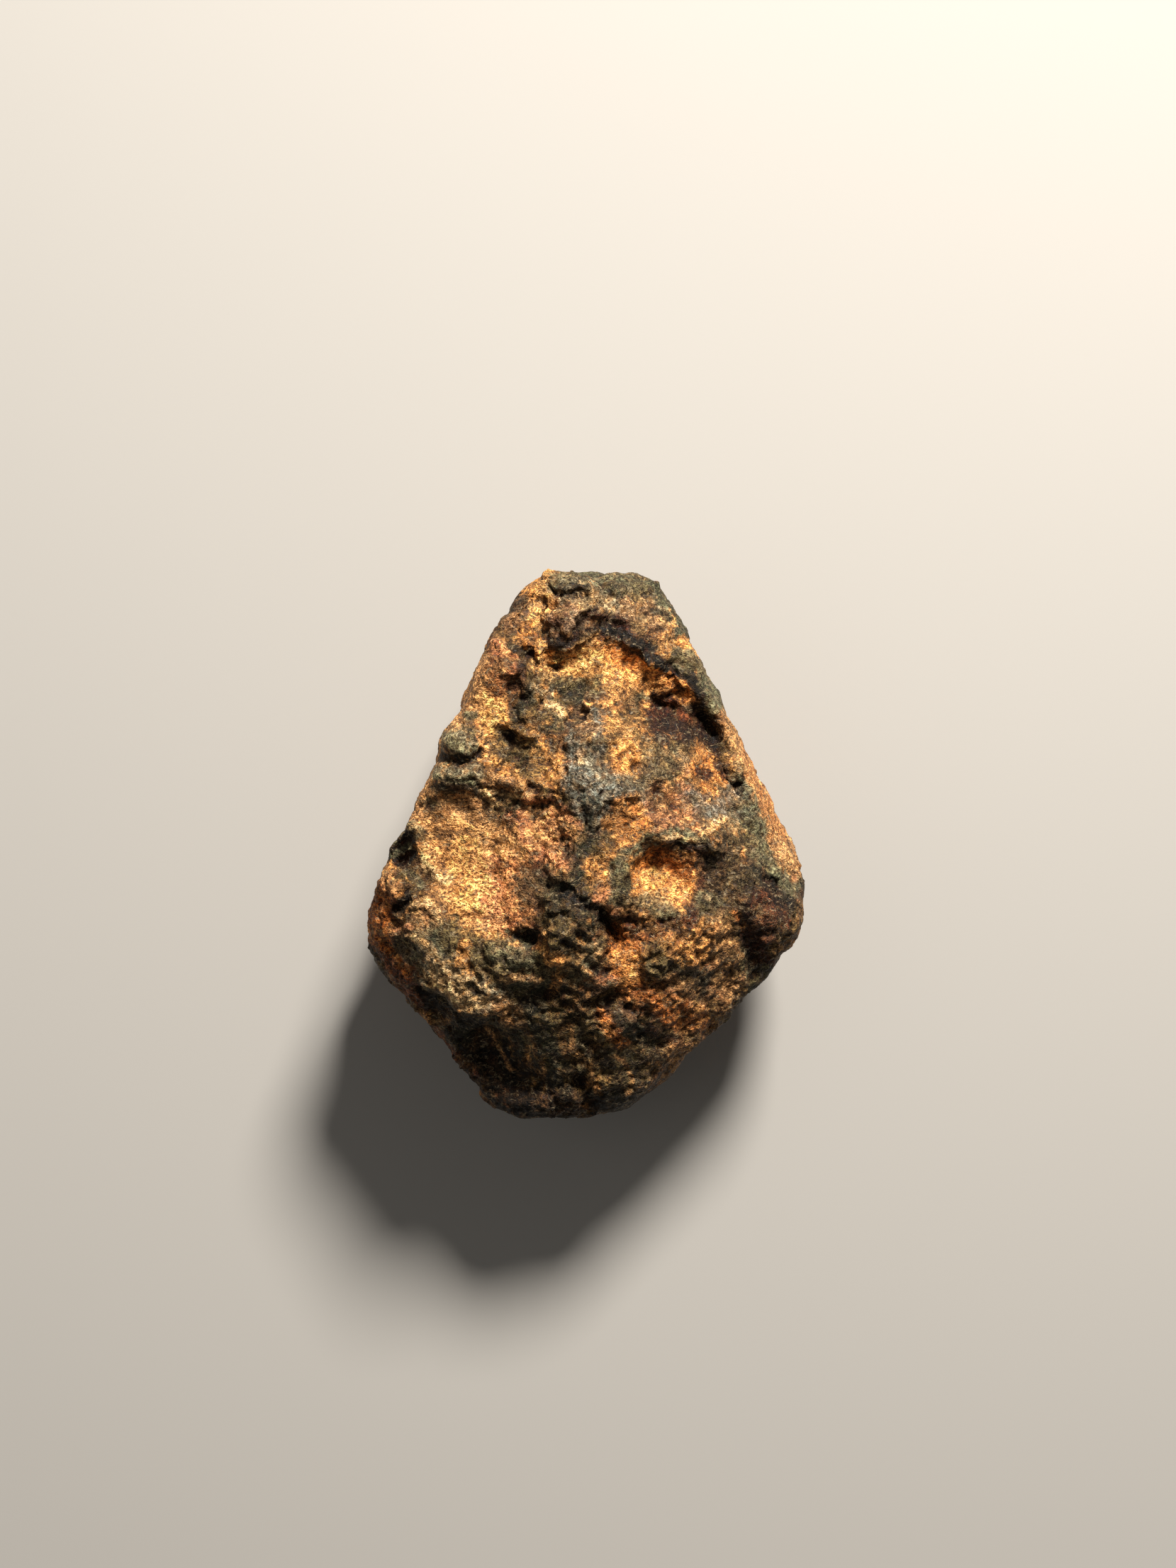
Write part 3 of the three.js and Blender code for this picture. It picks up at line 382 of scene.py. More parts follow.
    ("orange", 0.28, 0.65, [(-4.9, -1.2), (-4.95, -1.7), (-4.8, -2.2)]),
    ("maroon", 0.1, 0.8, [(-4.75, -1.9), (-4.5, -2.5)]),
    ("orange", 0.12, 0.8, [(-4.65, -1.9), (-4.55, -2.5), (-4.2, -3.0)]),
    ("tan", 0.2, 0.8, [(-4.75, -0.7), (-4.55, -0.9)]),
    # The middle
    ("bottle", 0.55, 0.85, [(-1.1, -0.9), (-0.6, -1.1), (-0.3, -1.6), (0.0, -1.0)]),
    ("bottle", 0.35, 0.8, [(-0.2, -0.4), (-0.1, 0.1)]),
    ("black", 0.14, 0.9, [(-0.6, -0.95), (-0.3, -1.1), (-0.1, -1.3)]),
    ("olive", 0.2, 0.6, [(-1.0, -1.8), (-0.4, -1.9)]),
    ("gold", 0.25, 0.7, [(0.2, -0.5), (0.6, -0.4), (0.5, -0.1)]),
    ("olive", 0.25, 0.7, [(0.3, -0.1), (0.5, 0.0)]),
    ("salmon", 0.3, 0.7, [(0.5, -1.1), (0.9, -1.4)]),
    ("black", 0.13, 1.0, [(0.3, -1.4), (0.42, -1.75), (0.7, -2.15)]),
    ("black", 0.12, 1.0, [(-1.6, -2.02), (-1.12, -2.16)]),
    ("black", 0.09, 0.95, [(0.0, -2.68), (0.5, -2.92)]),
    # The round pit
    ("slate", 0.24, 1.0, [(0.9, -0.8), (1.0, -0.25), (1.45, 0.15), (2.0, 0.28), (2.6, 0.12)]),
    ("cream", 0.06, 0.8, [(1.6, 0.22), (2.1, 0.3), (2.5, 0.15), (2.8, 0.05)]),
    ("bottle", 0.16, 0.9, [(1.0, -0.8), (1.12, -0.4), (1.5, -0.08)]),
    # Painted shadow of the rim over the round pit's upper and right side
    ("maroon", 0.24, 0.95, [(1.5, -0.15), (2.0, -0.02), (2.5, -0.15), (2.8, -0.4), (2.75, -0.9)]),
    ("black", 0.1, 0.8, [(1.8, 0.08), (2.4, 0.02), (2.9, -0.05)]),
    ("gold", 0.65, 0.95, [(1.5, -0.75), (2.1, -0.8)]),
    ("orange", 0.5, 0.6, [(1.6, -0.7), (2.1, -0.8)]),
    ("rust", 0.25, 0.5, [(1.9, -0.35), (2.3, -0.5)]),
    ("pale gold", 0.3, 0.45, [(1.5, -0.75), (2.2, -1.0)]),
    ("slate", 0.22, 0.95, [(0.75, -1.15), (0.8, -0.5)]),
    ("bottle", 0.13, 0.8, [(0.85, -1.05), (0.92, -0.5)]),
    ("umber", 0.6, 0.8, [(3.2, -0.4), (3.3, -1.0)]),
    ("bottle", 0.4, 0.6, [(3.1, -0.3), (3.4, -0.9)]),
    ("olive", 0.25, 0.5, [(3.2, -1.2), (3.8, -0.7)]),
    ("maroon", 0.16, 0.8, [(2.75, -0.8), (2.5, -1.5)]),
    ("slate", 0.25, 0.8, [(1.1, -1.35), (1.6, -1.3), (1.9, -1.5)]),
    ("tan", 0.12, 0.7, [(0.9, -1.5), (1.4, -1.55)]),
    ("slate", 0.3, 0.7, [(2.8, -1.3), (3.0, -1.5)]),
    # The right side below the pit
    ("umber", 0.6, 0.7, [(3.6, -0.9), (4.2, -1.3)]),
    ("bottle", 0.35, 0.6, [(3.7, -0.8), (4.1, -1.2)]),
    ("bottle", 0.28, 0.9, [(4.2, -0.7), (4.6, -1.15), (4.8, -1.4)]),
    ("slate", 0.14, 0.9, [(4.3, -0.5), (4.6, -0.9), (4.95, -1.0)]),
    ("rust", 0.4, 0.8, [(4.3, -1.5), (4.7, -1.9), (4.5, -2.5)]),
    ("maroon", 0.26, 0.9, [(3.7, -1.8), (3.9, -2.2), (4.1, -2.7)]),
    ("orange", 0.12, 0.6, [(3.45, -1.65), (3.75, -1.9)]),
    ("tan", 0.35, 0.6, [(3.1, -1.9), (3.3, -2.6), (3.3, -3.2)]),
    ("olive", 0.25, 0.5, [(3.4, -2.3), (3.5, -3.2)]),
    ("tan", 0.2, 0.7, [(3.2, -2.1), (3.45, -2.6)]),
    ("rust", 0.25, 0.7, [(1.0, -2.0), (1.7, -1.9), (2.3, -1.8)]),
    ("orange", 0.45, 0.55, [(0.75, -2.35), (1.0, -2.7), (1.1, -3.1)]),
    ("gold", 0.22, 0.6, [(0.8, -2.5), (1.2, -2.6), (1.0, -3.1)]),
    ("gold", 0.3, 0.7, [(2.2, -2.3), (2.6, -2.5)]),
    ("olive", 0.3, 0.6, [(1.6, -2.4), (1.7, -3.0)]),
    ("bottle", 0.3, 0.7, [(2.6, -3.0), (2.8, -3.5)]),
    ("tan", 0.2, 0.6, [(2.1, -3.1), (2.5, -3.4), (2.2, -3.8)]),
    ("tan", 0.1, 0.8, [(2.3, -3.6), (2.6, -3.9), (2.9, -3.95)]),
    ("umber", 0.5, 0.7, [(1.6, -3.6), (2.0, -4.1), (2.6, -4.4)]),
    ("tan", 0.4, 0.6, [(3.4, -3.4), (2.8, -4.2), (2.2, -5.0)]),
    ("orange", 0.35, 0.6, [(1.5, -3.4), (2.1, -3.9), (2.7, -4.1)]),
    # The lower left and the blunt end
    ("slate", 0.45, 0.7, [(-4.0, -2.4), (-3.6, -2.3), (-2.6, -2.6), (-1.6, -2.6)]),
    ("olive", 0.35, 0.7, [(-3.2, -2.1), (-2.7, -2.3), (-2.9, -2.9)]),
    ("gold", 0.14, 0.7, [(-2.85, -2.2), (-2.9, -3.1)]),
    ("pale slate", 0.45, 1.0, [(-3.5, -3.1), (-2.9, -3.4), (-2.3, -3.5)]),
    ("cream", 0.35, 0.7, [(-3.3, -3.15), (-2.6, -3.45)]),
    ("cream", 0.1, 0.7, [(-3.7, -3.1), (-3.0, -3.65), (-2.4, -3.72)]),
    ("bottle", 0.16, 0.9, [(-2.7, -3.22), (-2.5, -3.35)]),
    ("bottle", 0.2, 0.7, [(-3.7, -3.4), (-3.4, -3.7)]),
    ("bottle", 0.16, 0.8, [(-3.95, -2.3), (-3.6, -2.15)]),
    ("cream", 0.08, 0.7, [(-4.05, -2.1), (-3.7, -2.45), (-3.4, -2.9)]),
    ("slate", 0.4, 0.6, [(-1.5, -3.0), (-0.9, -2.9)]),
    ("tan", 0.12, 0.6, [(-1.9, -3.0), (-1.5, -2.9), (-1.2, -3.1)]),
    ("bottle", 0.4, 0.7, [(-1.2, -3.5), (-0.4, -3.7), (0.3, -3.6)]),
    ("tan", 0.22, 0.9, [(-2.05, -3.8), (-1.6, -4.1)]),
    ("gold", 0.16, 0.8, [(-0.9, -2.6), (-0.5, -2.7), (-0.7, -3.4)]),
    ("slate", 0.3, 0.6, [(0.2, -2.4), (-0.3, -2.9)]),
    ("olive", 0.7, 0.7, [(-0.6, -4.6), (0.2, -5.0), (0.9, -5.3)]),
    ("gold", 0.14, 0.7, [(-0.6, -4.3), (-0.4, -4.8), (0.1, -5.3)]),
    ("slate", 0.2, 0.6, [(-0.8, -4.7), (-0.6, -5.1)]),
    ("orange", 0.2, 0.7, [(0.3, -4.0), (0.6, -4.4), (0.8, -4.6)]),
    ("bottle", 0.25, 0.8, [(0.5, -3.75), (0.9, -3.9), (1.4, -4.5)]),
    ("maroon", 0.22, 0.8, [(0.2, -4.8), (0.4, -5.0)]),
    ("umber", 0.4, 0.6, [(1.0, -5.6), (1.6, -5.2), (1.0, -6.1)]),
    # Painted shadow under the ledge over the steep lower left
    ("black", 0.28, 0.9, [(-3.9, -3.6), (-3.3, -4.0), (-2.7, -4.2)]),
    # The dark scoop: partly its own black, partly painted shade on a slope facing away from the key light
    ("black", 0.75, 0.9, [(-3.0, -4.8), (-2.4, -5.1), (-2.0, -5.4), (-1.5, -6.0)]),
    # Painted shadow under the second ledge of the lower left
    ("bottle", 0.4, 0.7, [(-3.6, -4.4), (-3.0, -4.5)]),
    ("rust", 0.12, 0.6, [(-4.3, -3.3), (-3.9, -4.0), (-3.3, -4.8), (-2.7, -5.4)]),
    ("tan", 0.07, 0.8, [(-3.85, -4.1), (-3.35, -4.12)]),
    ("tan", 0.06, 0.8, [(-2.35, -4.3), (-2.2, -4.75), (-1.95, -5.1), (-1.75, -5.3)]),
    ("tan", 0.05, 0.7, [(-1.5, -4.2), (-1.15, -4.8), (-0.95, -5.4)]),
    ("umber", 0.3, 0.6, [(-0.8, -5.6), (-0.6, -6.2)]),
    ("black", 0.16, 0.9, [(0.1, -6.0), (0.35, -6.3)]),
    # The black and bottle green over the blunt end and the lower middle: partly their own dark colour,
    # partly painted shade where the stone slopes away from the key light
    ("black", 0.55, 0.75, [(-1.6, -6.2), (-0.8, -6.1), (0.2, -6.3), (1.2, -6.4)]),
    ("bottle", 0.5, 0.75, [(-1.2, -4.2), (-0.5, -4.6), (-0.3, -5.4)]),
    ("bottle", 0.4, 0.6, [(0.5, -5.0), (1.2, -5.3), (0.8, -6.0)]),
    # Over the right corner, the lower right and the blunt end
    ("maroon", 0.4, 0.7, [(4.2, -1.5), (4.5, -1.9), (4.2, -2.6)]),
    ("umber", 0.3, 0.3, [(4.3, -1.6), (4.5, -2.1)]),
    ("olive", 0.22, 0.7, [(5.1, -1.5), (4.9, -2.0), (4.6, -2.6)]),
    ("black", 0.16, 0.8, [(4.15, -0.7), (4.4, -1.05), (4.75, -1.35)]),
    ("maroon", 0.16, 0.6, [(1.5, -4.3), (2.1, -4.6), (2.8, -4.6)]),
    ("tan", 0.05, 0.8, [(-0.4, -4.2), (-0.2, -4.8), (0.1, -5.3), (0.2, -5.9)]),
    ("tan", 0.05, 0.7, [(0.7, -4.9), (1.0, -5.4), (1.0, -5.9)]),
]


# Selection and modifiers

def select_only(piece):
    for other in bpy.context.selected_objects:
        other.select_set(False)
    piece.select_set(True)
    bpy.context.view_layer.objects.active = piece


def finish_with(piece, kind, **settings):
    """Adds a modifier with these settings and applies it."""
    select_only(piece)
    modifier = piece.modifiers.new(kind.title(), kind)
    for name, value in settings.items():
        setattr(modifier, name, value)
    bpy.ops.object.modifier_apply(modifier=modifier.name)


def scale_mesh(piece, factor):
    select_only(piece)
    piece.scale = (factor, factor, factor)
    bpy.ops.object.transform_apply(location=False, rotation=False, scale=True)


# The mesh as arrays

def places(piece):
    flat = np.empty(len(piece.data.vertices) * 3)
    piece.data.vertices.foreach_get("co", flat)
    return flat.reshape(-1, 3)


def put_places(piece, points):
    piece.data.vertices.foreach_set("co", points.ravel())
    piece.data.update()


def normals(piece):
    flat = np.empty(len(piece.data.vertices) * 3)
    piece.data.vertices.foreach_get("normal", flat)
    return flat.reshape(-1, 3)


def edge_ends(piece):
    flat = np.empty(len(piece.data.edges) * 2, dtype=np.int64)
    piece.data.edges.foreach_get("vertices", flat)
    return flat[0::2], flat[1::2]


def evened(values, ends, rounds):
    """Values at the vertices, evened out with their neighbours' for a number of rounds."""
    first, second = ends
    count = len(values)
    neighbours = np.bincount(first, minlength=count) + np.bincount(second, minlength=count)
    values = values.copy()
    for _ in range(rounds):
        total = np.empty_like(values)
        for axis in range(values.shape[1]):
            column = values[:, axis]
            total[:, axis] = (np.bincount(first, column[second], count)
                              + np.bincount(second, column[first], count))
        values = 0.5 * values + 0.5 * total / neighbours[:, None]
    return values


# Noise and shapes

CLOUD_SHIFT = (13.1, 7.7, 3.9)  # moves the noise on by this much for each seed
CLOUD_FALL, CLOUD_STEP = 0.8, 2.1  # how fast the finer layers fade, and how much finer each one is
CLOUD_SPREAD = 1.5  # brings the noise to about -1 to 1
CREASE_SPREAD = 1.6  # above 1, the lumps between creases get flat tops
FLAKE_EDGE = 0.72  # share of each step that is flat
DRIFT_SHIFT = (5.3, 11.9, 8.1)  # the same for drift, and for its three axes
DRIFT_AXIS_SHIFT = 31.7


def ramp(low, high, values):
    """0 at low, 1 at high, with a soft start and end; low may be the larger one."""
    share = np.clip((values - low) / (high - low), 0, 1)
    return share * share * (3 - 2 * share)


def cloud(points, apart, seed, octaves=3):
    """Noise of about -1 to 1 at each point, for features the given distance apart."""
    shift = Vector([along * seed for along in CLOUD_SHIFT])
    scaled = points / apart
    values = [noise.fractal(Vector(place) + shift, CLOUD_FALL, CLOUD_STEP, octaves) for place in scaled]
    return np.array(values) * CLOUD_SPREAD


def creases(points, apart, seed):
    """0 in sharp creases, up to 1 on the lumps between them."""
    return np.minimum(np.abs(cloud(points, apart, seed, 2)) * CREASE_SPREAD, 1)


def flakes(points, apart, seed, steps):
    """Noise cut into flat steps with crisp edges, as in a scaly crust."""
    level = cloud(points, apart, seed) * steps
    whole = np.floor(level)
    return (whole + ramp(FLAKE_EDGE, 1.0, level - whole)) / steps


def drift(points, apart, seed):
    """Noise of about -1 to 1 along each axis, for each point."""
    along_x, along_y, along_z = DRIFT_SHIFT
    shifts = [Vector((along_x * seed, along_y * seed + DRIFT_AXIS_SHIFT * axis, along_z * seed))
              for axis in range(3)]
    return np.array([[noise.noise(Vector(place) + shift) for shift in shifts] for place in points / apart])


# How far a place on the broad face wanders in mm, over how many mm, and a seed
WANDERING = [(0.2, 0.9, 1), (0.1, 0.3, 2)]


def wandered(points):
    """Places on the broad face that wander a little, so that what is drawn there has no straight edges."""
    level = points * np.array([1, 1, 0])
    return points[:, :2] + sum(far * drift(level, apart, seed) for far, apart, seed in WANDERING)[:, :2]


def from_line(plan, line):
    """Each place's distance from a line, how far it lies left of the line's run, and how far along it."""
    line = [np.array(point) for point in line]
    if len(line) == 1:
        line = line * 2
    nearest = np.full(len(plan), np.inf)
    left = np.zeros(len(plan))
    share_of_run = np.zeros(len(plan))
    steps = len(line) - 1
    for index in range(steps):
        start, run = line[index], line[index + 1] - line[index]
        offset = plan - start
        length = max(float(run @ run), 1e-9)
        share = np.clip(offset @ run / length, 0, 1)
        gap = offset - share[:, None] * run
        distance = np.hypot(gap[:, 0], gap[:, 1])
        side = np.sign(gap[:, 1] * run[0] - gap[:, 0] * run[1])
        closer = distance < nearest
        nearest = np.where(closer, distance, nearest)
        left = np.where(closer, distance * side, left)
        share_of_run = np.where(closer, (index + share) / steps, share_of_run)
    return nearest, left, share_of_run


def plan_left(line):
    """The mean direction to the left of a line's run."""
    run = np.array(line[-1]) - np.array(line[0])
    run = run / np.hypot(*run)
    return np.array([-run[1], run[0]])


# The broad face fades in between these upward parts of the surface's facing and these heights in mm
CARVED_FACE = ((-0.05, 0.3), (2.4, 3.4))
PAINTED_FACE = ((-0.02, 0.15), (1.8, 2.6))
FIELD_EDGE = (1.3, 0.6)  # a field fades between these shares of its half width


def face_share(points, facing, slopes, heights):
    """1 on the broad face and the slopes round it, 0 on the sides and underneath."""
    return ramp(*slopes, facing[:, 2]) * ramp(*heights, points[:, 2])


def field_share(points, on_face, fields):
    """1 within the given fields of the broad face, 0 outside them."""
    share = np.zeros(len(points))
    for half, line in fields:
        distance, _, _ = from_line(points[:, :2], line)
        share = np.maximum(share, ramp(*FIELD_EDGE, distance / half))
    return share * on_face


# Carving, in mm

LEDGE_END = 0.12  # share of a ledge's line over which it fades out at each end
BROW_WIDTH = 0.16  # of the edge that hangs over
FOOT_WIDTH = 0.14  # of the hollow below the edge
RELIEF_REACH = 1.3  # a raised line or groove ends at this many half widths
RELIEF_TOP = 0.15  # share of that reach that is flat
NODULE_TOP = 0.1  # share of a nodule's radius that is flat
NODULE_SQUASH = np.array([1, 1, 0.5])  # nodules are twice as tall as they are wide
CALM_IN_FIELDS = 0.6  # how much of the craggy relief the even fields lose
CREASE_MEAN = 0.45  # taken off, so that creases neither swell nor shrink the stone

LUMP_HEIGHT, LUMPS_APART = 0.07, 1.3
SWELL_HEIGHT, SWELLS_APART = 0.04, 0.8

# Flakes of the crust: height, stretch, distance apart, seed, steps
FLAKES = [(0.11, (1, 1.4, 1.2), 1.1, 6, 2.2), (0.06, (1, 1, 1), 0.5, 10, 2)]
SMALL_LUMP_HEIGHT, SMALL_LUMPS_APART = 0.06, 0.3
GRAIN_HEIGHT, GRAINS_APART = 0.04, 0.15
RIDGE_HEIGHT, RIDGES_APART, RIDGE_STRETCH = 0.12, 0.75, np.array([1, 1.3, 1])
SWEEP, SWEEPS_APART = 0.16, 0.4  # how far the flakes and ridges are pulled out of line
CALM_PATCHES, PATCHES_APART = 0.55, 1.6  # height of the fine relief in the calmest patches
CALM_SIDES = 0.45  # height of the fine relief on the sides and underneath

# The mesh is thinned more and more between these upward parts of its facing and these heights
THINNED_FACING, THINNED_HEIGHT = (0.1, -0.25), (3.6, 2.4)


def carve_ledges(points, on_face, plan):
    for _, drop, reach, wall, overhang, line in LEDGES:
        _, left, share = from_line(plan, line)
        fade = ramp(0, LEDGE_END, share) * ramp(1, 1 - LEDGE_END, share) * on_face
        step = ramp(0, wall, left) * np.exp(-(np.maximum(left, 0) / reach) ** 2)
        points[:, 2] -= drop * fade * step
        brow = overhang * np.exp(-(left / BROW_WIDTH) ** 2)
        brow -= 0.5 * overhang * np.exp(-((left - wall) / FOOT_WIDTH) ** 2)
        points[:, :2] += (fade * brow)[:, None] * plan_left(line)


def carve_relief(points, on_face, plan):
    for _, height, half, line in RELIEF:
        distance, _, _ = from_line(plan, line)
        points[:, 2] += height * on_face * ramp(1, RELIEF_TOP, distance / (RELIEF_REACH * half))


def carve_outline(points, facing, moved):
    for _, height, radius, place in OUTLINE_RELIEF:
        away = np.linalg.norm((moved - np.array(place)) * NODULE_SQUASH, axis=1) / radius
        points += (height * ramp(1, NODULE_TOP, away))[:, None] * facing


def carve_large(piece):
    points, facing = places(piece), normals(piece)
    on_face = face_share(points, facing, *CARVED_FACE)
    plan = wandered(points)
    craggy = 1 - CALM_IN_FIELDS * field_share(points, on_face, EVEN_FIELDS)
    lumps = creases(points, LUMPS_APART, 3) - CREASE_MEAN
    uneven = craggy * (LUMP_HEIGHT * lumps + SWELL_HEIGHT * cloud(points, SWELLS_APART, 4))
    points = points + uneven[:, None] * facing
    carve_ledges(points, on_face, plan)
    carve_relief(points, on_face, plan)
    carve_outline(points, facing, np.column_stack((plan, points[:, 2])))
    put_places(piece, points)


def carve_fine(piece):
    points, facing = places(piece), normals(piece)
    on_face = face_share(points, facing, *CARVED_FACE)
    craggy = CALM_PATCHES + (1 - CALM_PATCHES) * ramp(-0.4, 0.4, cloud(points, PATCHES_APART, 5))
    craggy *= 1 - CALM_IN_FIELDS * field_share(points, on_face, EVEN_FIELDS)
    craggy *= CALM_SIDES + (1 - CALM_SIDES) * ramp(0.1, 0.65, facing[:, 2])
    swept = points + SWEEP * drift(points, SWEEPS_APART, 9)
    grain = sum(height * flakes(swept * np.array(stretch), apart, seed, steps)
                for height, stretch, apart, seed, steps in FLAKES)
    grain += SMALL_LUMP_HEIGHT * (creases(swept, SMALL_LUMPS_APART, 8) - CREASE_MEAN)
    grain += GRAIN_HEIGHT * cloud(points, GRAINS_APART, 7, 2)
    ridges = 1 - CREASE_MEAN - creases(swept * RIDGE_STRETCH, RIDGES_APART, 19)
    grain += RIDGE_HEIGHT * field_share(points, on_face, RIDGED_FIELDS) * ridges
    points = points + (craggy * grain)[:, None] * facing
    points[:, 2] = np.maximum(points[:, 2], REST_HEIGHT)
    put_places(piece, points)


def thin_underside(piece):
    """Thins the mesh where the stone faces down, until it has few enough triangles."""
    points, facing = places(piece), normals(piece)
    below = ramp(*THINNED_FACING, facing[:, 2]) * ramp(*THINNED_HEIGHT, points[:, 2])
    group = piece.vertex_groups.new(name="underside")
    for index in np.flatnonzero(below > 0.01):
        group.add([int(index)], float(below[index]), "REPLACE")
    triangles = sum(len(face.vertices) - 2 for face in piece.data.polygons)
    finish_with(piece, "DECIMATE", ratio=KEPT_TRIANGLES / triangles, vertex_group="underside")
    piece.vertex_groups.clear()
    points = places(piece)
    points[:, 2] = np.maximum(points[:, 2], REST_HEIGHT)
    put_places(piece, points)


# Colour

CRUST_LAYER = "crust_colour"

# Large patches all over the stone: colour, strength, distance apart in mm, seed,
# from which to which level of the noise they show, and how ragged their edges are
PATCHES = [
    ("olive", 0.7, 2.4, 11, (-0.2, 0.3), 0.4),
    ("slate", 0.7, 1.7, 15, (0.1, 0.45), 0.3),
    ("salmon", 0.6, 1.8, 16, (0.1, 0.5), 0.4),
    ("gold", 0.7, 1.5, 17, (0.15, 0.5), 0.4),
    ("bottle", 0.7, 0.8, 18, (0.3, 0.6), 0.3),
]
# Surfaces facing the blunt end are darkened: partly their own dark colour, partly painted shade where they
# face away from the key light
DARK_AND_SHADED_END = 0.7  # how dark the flank of the blunt end is
STROKE_EDGE = (1.25, 0.7)  # a stroke fades between these shares of its half width
SMALL_RAGS, TINY_RAGS = 0.22, 0.28  # how ragged a stroke's edge is
FINE_ROUNDS, WIDE_ROUNDS = 14, 70  # rounds of evening that show the fine and the wide hollows
PLAIN_IN_FIELDS = 0.8  # how much of the mottling the even fields lose
MEAN_LIGHT = 1.08
EDGE_LIGHT = 0.35  # how much brighter the raised edges are
FIELD_LIGHT = 0.45  # how much brighter the even fields are
DARKEST, BRIGHTEST = 0.002, 0.95


def linear(colour):
    share = np.array(colour) / 255
    return np.where(share <= 0.04045, share / 12.92, ((share + 0.055) / 1.055) ** 2.4)


def lay(colours, name, weight):
    """Lays a colour over the others with a weight for each vertex."""
    return colours + weight[:, None] * (linear(COLOURS[name]) - colours)


def hollow_depth(points, facing, ends, rounds):
    """How far each vertex lies below the evened surface, in mm; under 0 on edges."""
    return np.einsum("ij,ij->i", evened(points, ends, rounds) - points, facing)


def patchy_ground(points, facing, small):
    """Umber with large patches of the other colours, and darker where the surface faces the blunt end:
    partly its own dark colour, partly painted shade away from the key light.
    """
    colours = np.tile(linear(COLOURS["umber"]), (len(points), 1))
    for name, strength, apart, seed, levels, ragged in PATCHES:
        colours = lay(colours, name, strength * ramp(*levels, cloud(points, apart, seed) + ragged * small))
    return lay(colours, "bottle", DARK_AND_SHADED_END * ramp(-0.1, -0.6, facing[:, 1]))


def stroked(colours, points, on_face, ragged):
    """The colours with every stroke laid over them, on the broad face."""
    plan = wandered(points)
    for name, half, strength, line in STROKES:
        distance, _, _ = from_line(plan, line)
        colours = lay(colours, name, strength * on_face * ramp(*STROKE_EDGE, distance / half + ragged))
    return colours


def flecked_and_shaded(colours, points, mottled, depth, wide_depth):
    """The colours with flecks over them, and with painted shade darkening the hollows."""
    brightness = colours.mean(axis=1)
    unless_dark = mottled * ramp(0.01, 0.05, brightness)
    blotches = ramp(0.15, 0.45, cloud(points, 0.42, 33, 2))
    umber_flecks = ramp(0.25, 0.55, cloud(points, 0.18, 31, 2))
    gold_flecks = ramp(0.15, 0.5, cloud(points, 0.15, 32, 2)) * ramp(0.05, 0.3, brightness)
    colours = lay(colours, "olive", 0.5 * unless_dark * blotches)
    # Painted shade: bottle green darkens the wide hollows
    colours = lay(colours, "bottle", 0.5 * unless_dark * ramp(0.02, 0.1, wide_depth))
    colours = lay(colours, "umber", 0.5 * umber_flecks)
    colours = lay(colours, "pale gold", 0.45 * gold_flecks)
    # Painted shade: maroon darkens the fine hollows, and black the deepest wide ones
    colours = lay(colours, "maroon", 0.8 * ramp(0.02, 0.07, depth))
    return lay(colours, "black", 0.6 * ramp(0.06, 0.2, wide_depth))


def crust_colours(piece):
    """The colour at each vertex: patchy ground, strokes, flecks and painted shade in the hollows, then
    lighter and darker places.
    """
    points, facing = places(piece), normals(piece)
    ends = edge_ends(piece)
    on_face = face_share(points, facing, *PAINTED_FACE)
    even = field_share(points, on_face, EVEN_FIELDS)
    mottled = 1 - PLAIN_IN_FIELDS * even
    depth = hollow_depth(points, facing, ends, FINE_ROUNDS)
    wide_depth = hollow_depth(points, facing, ends, WIDE_ROUNDS)
    middle, small, tiny = cloud(points, 0.9, 12), cloud(points, 0.3, 13), cloud(points, 0.13, 14, 2)
    colours = patchy_ground(points, facing, small)
    colours = stroked(colours, points, on_face, SMALL_RAGS * small + TINY_RAGS * tiny)
    colours = flecked_and_shaded(colours, points, mottled, depth, wide_depth)
    light = MEAN_LIGHT + EDGE_LIGHT * ramp(0.01, 0.05, -depth) + 0.12 * middle
    light += (0.2 * small + 0.25 * tiny) * (0.6 + 1.1 * mottled)
    light += FIELD_LIGHT * even
    return np.clip(colours * light[:, None], DARKEST, BRIGHTEST)


def paint(piece, colours):
    layer = piece.data.color_attributes.new(CRUST_LAYER, "FLOAT_COLOR", "POINT")
    rgba = np.ones((len(colours), 4))
    rgba[:, :3] = colours
    layer.data.foreach_set("color", rgba.ravel())


# Finish of the crust

# Fibres of the rust: turn of their run, squeeze across it, how many to a mm, curl, width
CURLS = ((0.3, 0.2, 0.6), 1.7, 3.6, 1.0, 0.05)
THREADS = ((-0.5, 0.4, 2.1), 1.6, 5.2, 0.8, 0.055)
HAIRS = ((0.9, -0.2, 1.3), 1.5, 8.0, 0.5, 0.06)
STRAY_FIBRES = ((0.4, 0.7, 2.9), 1.7, 3.4, 0.5, 0.035)
THREAD_SHARE, HAIR_SHARE, STRAY_SHARE = 0.85, 0.6, 0.6

# What the painted colour is multiplied by on the fibres, between them and in the pits; the darkening in
# the pits is painted shade
ON_FIBRES = (2.0, 1.9, 1.88, 1.0)
BETWEEN_FIBRES = (0.52, 0.40, 0.30, 1.0)
IN_PITS = (0.25, 0.22, 0.2, 1.0)

# Colours of their own: dust on the fibres, and the stray fibres
DUST = (0.62, 0.42, 0.20, 1.0)
DUST_SHARE = 0.03
STRAY_COLOUR = (0.40, 0.31, 0.18, 1.0)

PITS_TO_A_MM = 13.0
FIBRE_RELIEF = 0.035  # mm
BARE_ROUGHNESS, FIBRE_ROUGHNESS = 0.6, 0.25


